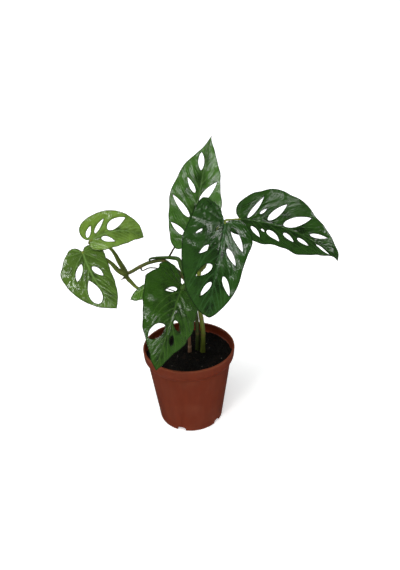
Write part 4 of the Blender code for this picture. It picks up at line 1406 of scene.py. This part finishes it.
def build_leaf(name, leaf, settings):
    """One blade as a closed sheet: channelled midrib, quilting between its veins, a waved margin."""
    places, faces, rim, margin, veins = blade_layout(leaf, settings.grid / MM)
    along, out = places.T
    length = leaf["length"]
    size = min(1, length / 80)
    to_midrib = distance_to(places, np.array([(0, 0), (length, 0)], float))
    to_vein = np.min([distance_to(places, path) for path in veins], axis=0)
    fade = np.clip(1.15 - np.clip(along, 0, None) / length, 0.15, 1)
    spread = np.abs(out) / (np.abs(out) + margin + 1e-6)
    nearest = np.minimum(to_vein, to_midrib)
    flat_rim = np.clip(rim / 5, 0, 1)
    swell = settings.quilt * size * (1 - np.exp(-((nearest / 3.6) ** 2))) * flat_rim * (1 - 0.3 * spread)
    channel = settings.groove * size * np.exp(-((to_midrib / 1.1) ** 2)) * fade
    small_channel = 0.2 * MM * size * np.exp(-((to_vein / 0.8) ** 2)) * (1 - 0.5 * spread)
    phase = len(name)
    side = np.sign(out)
    wave = waves(leaf, along, side, spread, phase)
    tip = leaf["curl"] * MM * np.clip((along - length + 16) / 16, 0, 1) ** 2
    uneven = np.array([
        noise.fractal(Vector((x / 16, y / 16, phase)), 1, 2, 3) for x, y in places
    ]) * 0.35 * MM * size
    down_vein, over_vein = pleat_places(along, out)
    pleats = np.array([
        noise.noise(Vector((x / 13, y / 3.1, phase + z))) for x, y, z in zip(down_vein, over_vein, side)
    ]) * settings.pleats * size * flat_rim
    # The lobe beside the stalk rolls back and puckers in arcs round the stalk.
    behind = np.clip(4 - along, 0, None) * (out > 0)
    reach = np.hypot(along, out)
    puckers = 0.12 * np.sin(reach * 2 * math.pi / 6.5) * np.clip(behind / 8, 0, 1)
    rolled = leaf["lobe"] * MM * ((behind / 28) ** 2 - puckers)
    middle = swell - channel - small_channel + wave + uneven + pleats - rolled - tip
    ease = 1 - (1 - np.clip(rim / 0.7, 0, 1)) ** 2
    half = settings.thickness / 2 * (0.5 + 0.5 * np.sqrt(ease))
    ridge = settings.ridge * size * np.exp(-((to_midrib / 1.3) ** 2)) * fade
    ridge += 0.3 * MM * size * np.exp(-((to_vein / 0.9) ** 2)) * (1 - 0.6 * spread)
    ridge *= np.clip(rim / 1.2, 0, 1)
    upper = blade_points(leaf, places, middle + half)
    lower = blade_points(leaf, places, middle - half - ridge)
    count = len(places)
    edges = {}
    for a, b, c in faces.tolist():
        for start, end in ((a, b), (b, c), (c, a)):
            edges[(start, end)] = True
    walls = [(end, start, start + count, end + count) for start, end in edges if (end, start) not in edges]
    every_face = faces.tolist() + (faces[:, ::-1] + count).tolist() + walls
    kinds = [0] * len(faces) + [1] * len(faces) + [0] * len(walls)
    finishes = [
        blade_material("waxy monstera blade, " + name, leaf),
        underside_material("matt monstera underside, " + name, leaf),
    ]
    mesh = mesh_of(name + "_blade", np.vstack([upper, lower]), every_face, finishes, kinds, sharp=55)
    outward(mesh)
    vein_mark = np.maximum(
        np.exp(-((to_midrib / 0.9) ** 2)) * np.clip(fade + 0.2, 0, 1),
        0.75 * np.exp(-((to_vein / 0.5) ** 2)) * (1 - 0.55 * spread),
    )
    for label, values in (("vein", vein_mark), ("margin", np.exp(-((rim / 0.85) ** 2))), ("spread", spread)):
        mark(mesh, label, np.tile(values, 2))
    corner_points = np.empty(len(mesh.loops), np.int32)
    mesh.loops.foreach_get("vertex_index", corner_points)
    for label, flat in (("blade", places), ("pleats", np.stack([down_vein, over_vein], 1))):
        layer = mesh.uv_layers.new(name=label)
        spots = (np.tile(flat, (2, 1)) / MAP_UNIT)[corner_points]
        layer.uv.foreach_set("vector", spots.ravel().astype(np.float32))
    piece = new_object(name + "_blade", mesh)
    finished(piece, leaf["slot"], name)


# ---------------------------------------------------------------- stage


def add_light(name, kind, strength, placed, lights=True, shines=True, **sizes):
    """A light. lights is whether it lights matt surfaces, and shines whether gloss shows it."""
    lamp = bpy.data.lights.new(name, kind)
    lamp.energy = strength
    for key, value in sizes.items():
        setattr(lamp, key, value)
    light = bpy.data.objects.new(name, lamp)
    light.visible_diffuse = lights
    light.visible_glossy = shines
    light.matrix_world = placed
    bpy.context.scene.collection.objects.link(light)


def sky_light(name, strength, spread, way, lights=True, shines=True):
    """A far-off softbox, spread degrees wide, that shines evenly from way."""
    facing = Vector(way).to_track_quat("Z", "Y").to_matrix().to_4x4()
    add_light(name, "SUN", strength, facing, lights, shines, angle=math.radians(spread))


def build_floor(settings):
    made, tree, shader = new_material("matt painted studio floor")
    cloud = patches(tree, object_place(tree), 3, 2)
    colour = blend(tree, cloud, tuple(settings.floor), linear("f8f8f6"))
    # Glossy surfaces see a dim floor, as they would in a dark room. To the rest it glows a little.
    gloss = add_node(tree, "ShaderNodeLightPath").outputs["Is Glossy Ray"]
    feed(tree, shader, {
        "Base Color": blend(tree, gloss, colour, linear("505050")),
        "Emission Strength": remap(tree, gloss, 0, 1, settings.glow, 0),
        "Emission Color": linear("ffffff"),
        "Roughness": 0.8,
    })
    reach = 150.0
    corners = [(-reach, -reach, 0), (reach, -reach, 0), (reach, reach, 0), (-reach, reach, 0)]
    floor = new_object("floor", mesh_of("floor", corners, [(0, 1, 2, 3)], [made]))


def light_room(settings):
    """The lights, and the even light of the room round them."""
    middle = (CAD_BOX[0] + CAD_BOX[1]) / 2
    place = Vector((1.1, -0.7, 0.6))
    facing = (Vector(middle) - place).to_track_quat("-Z", "Y").to_matrix().to_4x4()
    placed = Matrix.Translation(place) @ facing
    add_light("fill_light", "AREA", settings.fill, placed, shines=False, size=0.9)
    sky_light("overhead_light", settings.overhead, 36, (-0.2, -0.35, 0.9), shines=False)
    sky_light("window_light", settings.window, 8, (-0.3, -0.6, 0.75))
    sky_light("top_gloss_light", settings.gloss, 10, (0.05, -0.35, 0.92), lights=False)
    sky_light("right_gloss_light", settings.gloss, 10, (0.83, -0.1, 0.5), lights=False)
    sky_light("left_gloss_light", settings.gloss, 10, (-0.8, 0.25, 0.45), lights=False)
    world = bpy.data.worlds.new("studio")
    world.use_nodes = True
    tree = world.node_tree
    # The room lights the plant softly, shows darker in its gloss, and is a plain white behind it.
    ray = add_node(tree, "ShaderNodeLightPath").outputs
    soft = remap(tree, ray["Is Glossy Ray"], 0, 1, settings.sky, settings.sky * 0.15)
    feed(tree, tree.nodes["Background"], {
        "Color": linear("f6faff"),
        "Strength": remap(tree, ray["Is Camera Ray"], 0, 1, soft, 1.3),
    })
    bpy.context.scene.world = world
    bpy.context.scene.view_settings.view_transform = "Standard"


def place_camera():
    """The camera looks down at the plant from the front, with its right side a little low."""
    pitch, roll = math.radians(CAMERA_PITCH), math.radians(CAMERA_ROLL)
    back = Vector((0, -math.cos(pitch), math.sin(pitch)))
    level_right = Vector((1, 0, 0))
    level_up = back.cross(level_right)
    right = level_right * math.cos(roll) + level_up * math.sin(roll)
    up = level_up * math.cos(roll) - level_right * math.sin(roll)
    lens = bpy.data.cameras.new("camera")
    lens.sensor_width = SENSOR_SIZE
    lens.lens = FOCAL_LENGTH
    lens.clip_start = 0.01
    lens.clip_end = 1000
    camera = bpy.data.objects.new("camera", lens)
    turned = Matrix((right, up, back)).transposed().to_4x4()
    target = Vector(CAMERA_TARGET) * MM
    camera.matrix_world = Matrix.Translation(target + back * CAMERA_DISTANCE) @ turned
    bpy.context.scene.collection.objects.link(camera)
    bpy.context.scene.camera = camera


def build_stage(settings):
    """The floor, the lights and the camera."""
    build_floor(settings)
    light_room(settings)
    place_camera()


# ---------------------------------------------------------------- add-on


class MONSTERA_OT_stage(bpy.types.Operator):
    """Make the pale floor, the soft lights and the camera"""

    bl_idname = "monstera.stage"
    bl_label = "Studio"

    def execute(self, context):
        build_stage(context.scene.monstera_stage)
        return {"FINISHED"}


class MONSTERA_OT_pot(bpy.types.Operator):
    """Turn the moulded pot with its notches and drain holes"""

    bl_idname = "monstera.pot"
    bl_label = "Pot"

    def execute(self, context):
        build_pot(context.scene.monstera_pot)
        return {"FINISHED"}


class MONSTERA_OT_soil(bpy.types.Operator):
    """Fill the pot with soil and strew crumbs, bark and grit on it"""

    bl_idname = "monstera.soil"
    bl_label = "Soil"

    def execute(self, context):
        settings = context.scene.monstera_soil
        build_grains(settings, build_soil_bed(settings))
        return {"FINISHED"}


class MONSTERA_OT_stems(bpy.types.Operator):
    """Grow the three stems that stand in the soil"""

    bl_idname = "monstera.stems"
    bl_label = "Stems"

    def execute(self, context):
        build_stems(context.scene.monstera_stem)
        return {"FINISHED"}


class MONSTERA_OT_stalks(bpy.types.Operator):
    """Grow the leaf stalks"""

    bl_idname = "monstera.stalks"
    bl_label = "Leaf stalks"

    def execute(self, context):
        build_stalks(context.scene.monstera_stem)
        return {"FINISHED"}


class MONSTERA_OT_roots(bpy.types.Operator):
    """Grow the aerial roots of the runner"""

    bl_idname = "monstera.roots"
    bl_label = "Aerial roots"

    def execute(self, context):
        build_roots()
        return {"FINISHED"}


class MONSTERA_OT_leaves(bpy.types.Operator):
    """Grow the seven leaf blades"""

    bl_idname = "monstera.leaves"
    bl_label = "Leaves"

    def execute(self, context):
        for name, leaf in LEAVES.items():
            build_leaf(name, leaf, context.scene.monstera_leaf)
        return {"FINISHED"}


class MONSTERA_PT_panel(bpy.types.Panel):
    """The pieces of the plant and their sizes"""

    bl_idname = "MONSTERA_PT_panel"
    bl_label = "Potted Monstera"
    bl_space_type = "VIEW_3D"
    bl_region_type = "UI"
    bl_category = "Monstera"

    def draw(self, context):
        for name, settings, operators in GROUPS:
            box = self.layout.box()
            box.label(text=name)
            group = getattr(context.scene, settings)
            for key in type(group).__annotations__:
                box.prop(group, key)
            for operator in operators:
                box.operator(operator.bl_idname)


GROUPS = [
    ("Studio", "monstera_stage", (MONSTERA_OT_stage,)),
    ("Pot", "monstera_pot", (MONSTERA_OT_pot,)),
    ("Soil", "monstera_soil", (MONSTERA_OT_soil,)),
    ("Stems", "monstera_stem", (MONSTERA_OT_stems, MONSTERA_OT_stalks, MONSTERA_OT_roots)),
    ("Leaves", "monstera_leaf", (MONSTERA_OT_leaves,)),
]

SETTINGS = {
    "monstera_stage": MonsteraStageSettings,
    "monstera_pot": MonsteraPotSettings,
    "monstera_soil": MonsteraSoilSettings,
    "monstera_stem": MonsteraStemSettings,
    "monstera_leaf": MonsteraLeafSettings,
}

CLASSES = (
    *SETTINGS.values(),
    MONSTERA_OT_stage,
    MONSTERA_OT_pot,
    MONSTERA_OT_soil,
    MONSTERA_OT_stems,
    MONSTERA_OT_stalks,
    MONSTERA_OT_roots,
    MONSTERA_OT_leaves,
    MONSTERA_PT_panel,
)


def register():
    for made in CLASSES:
        bpy.utils.register_class(made)
    for name, group in SETTINGS.items():
        setattr(bpy.types.Scene, name, PointerProperty(type=group))


def unregister():
    for name in SETTINGS:
        delattr(bpy.types.Scene, name)
    for made in reversed(CLASSES):
        bpy.utils.unregister_class(made)


def main():
    register()
    bpy.ops.monstera.stage()
    bpy.ops.monstera.pot()
    bpy.ops.monstera.soil()
    bpy.ops.monstera.stems()
    bpy.ops.monstera.stalks()
    bpy.ops.monstera.roots()
    bpy.ops.monstera.leaves()


if __name__ == "__main__":
    main()
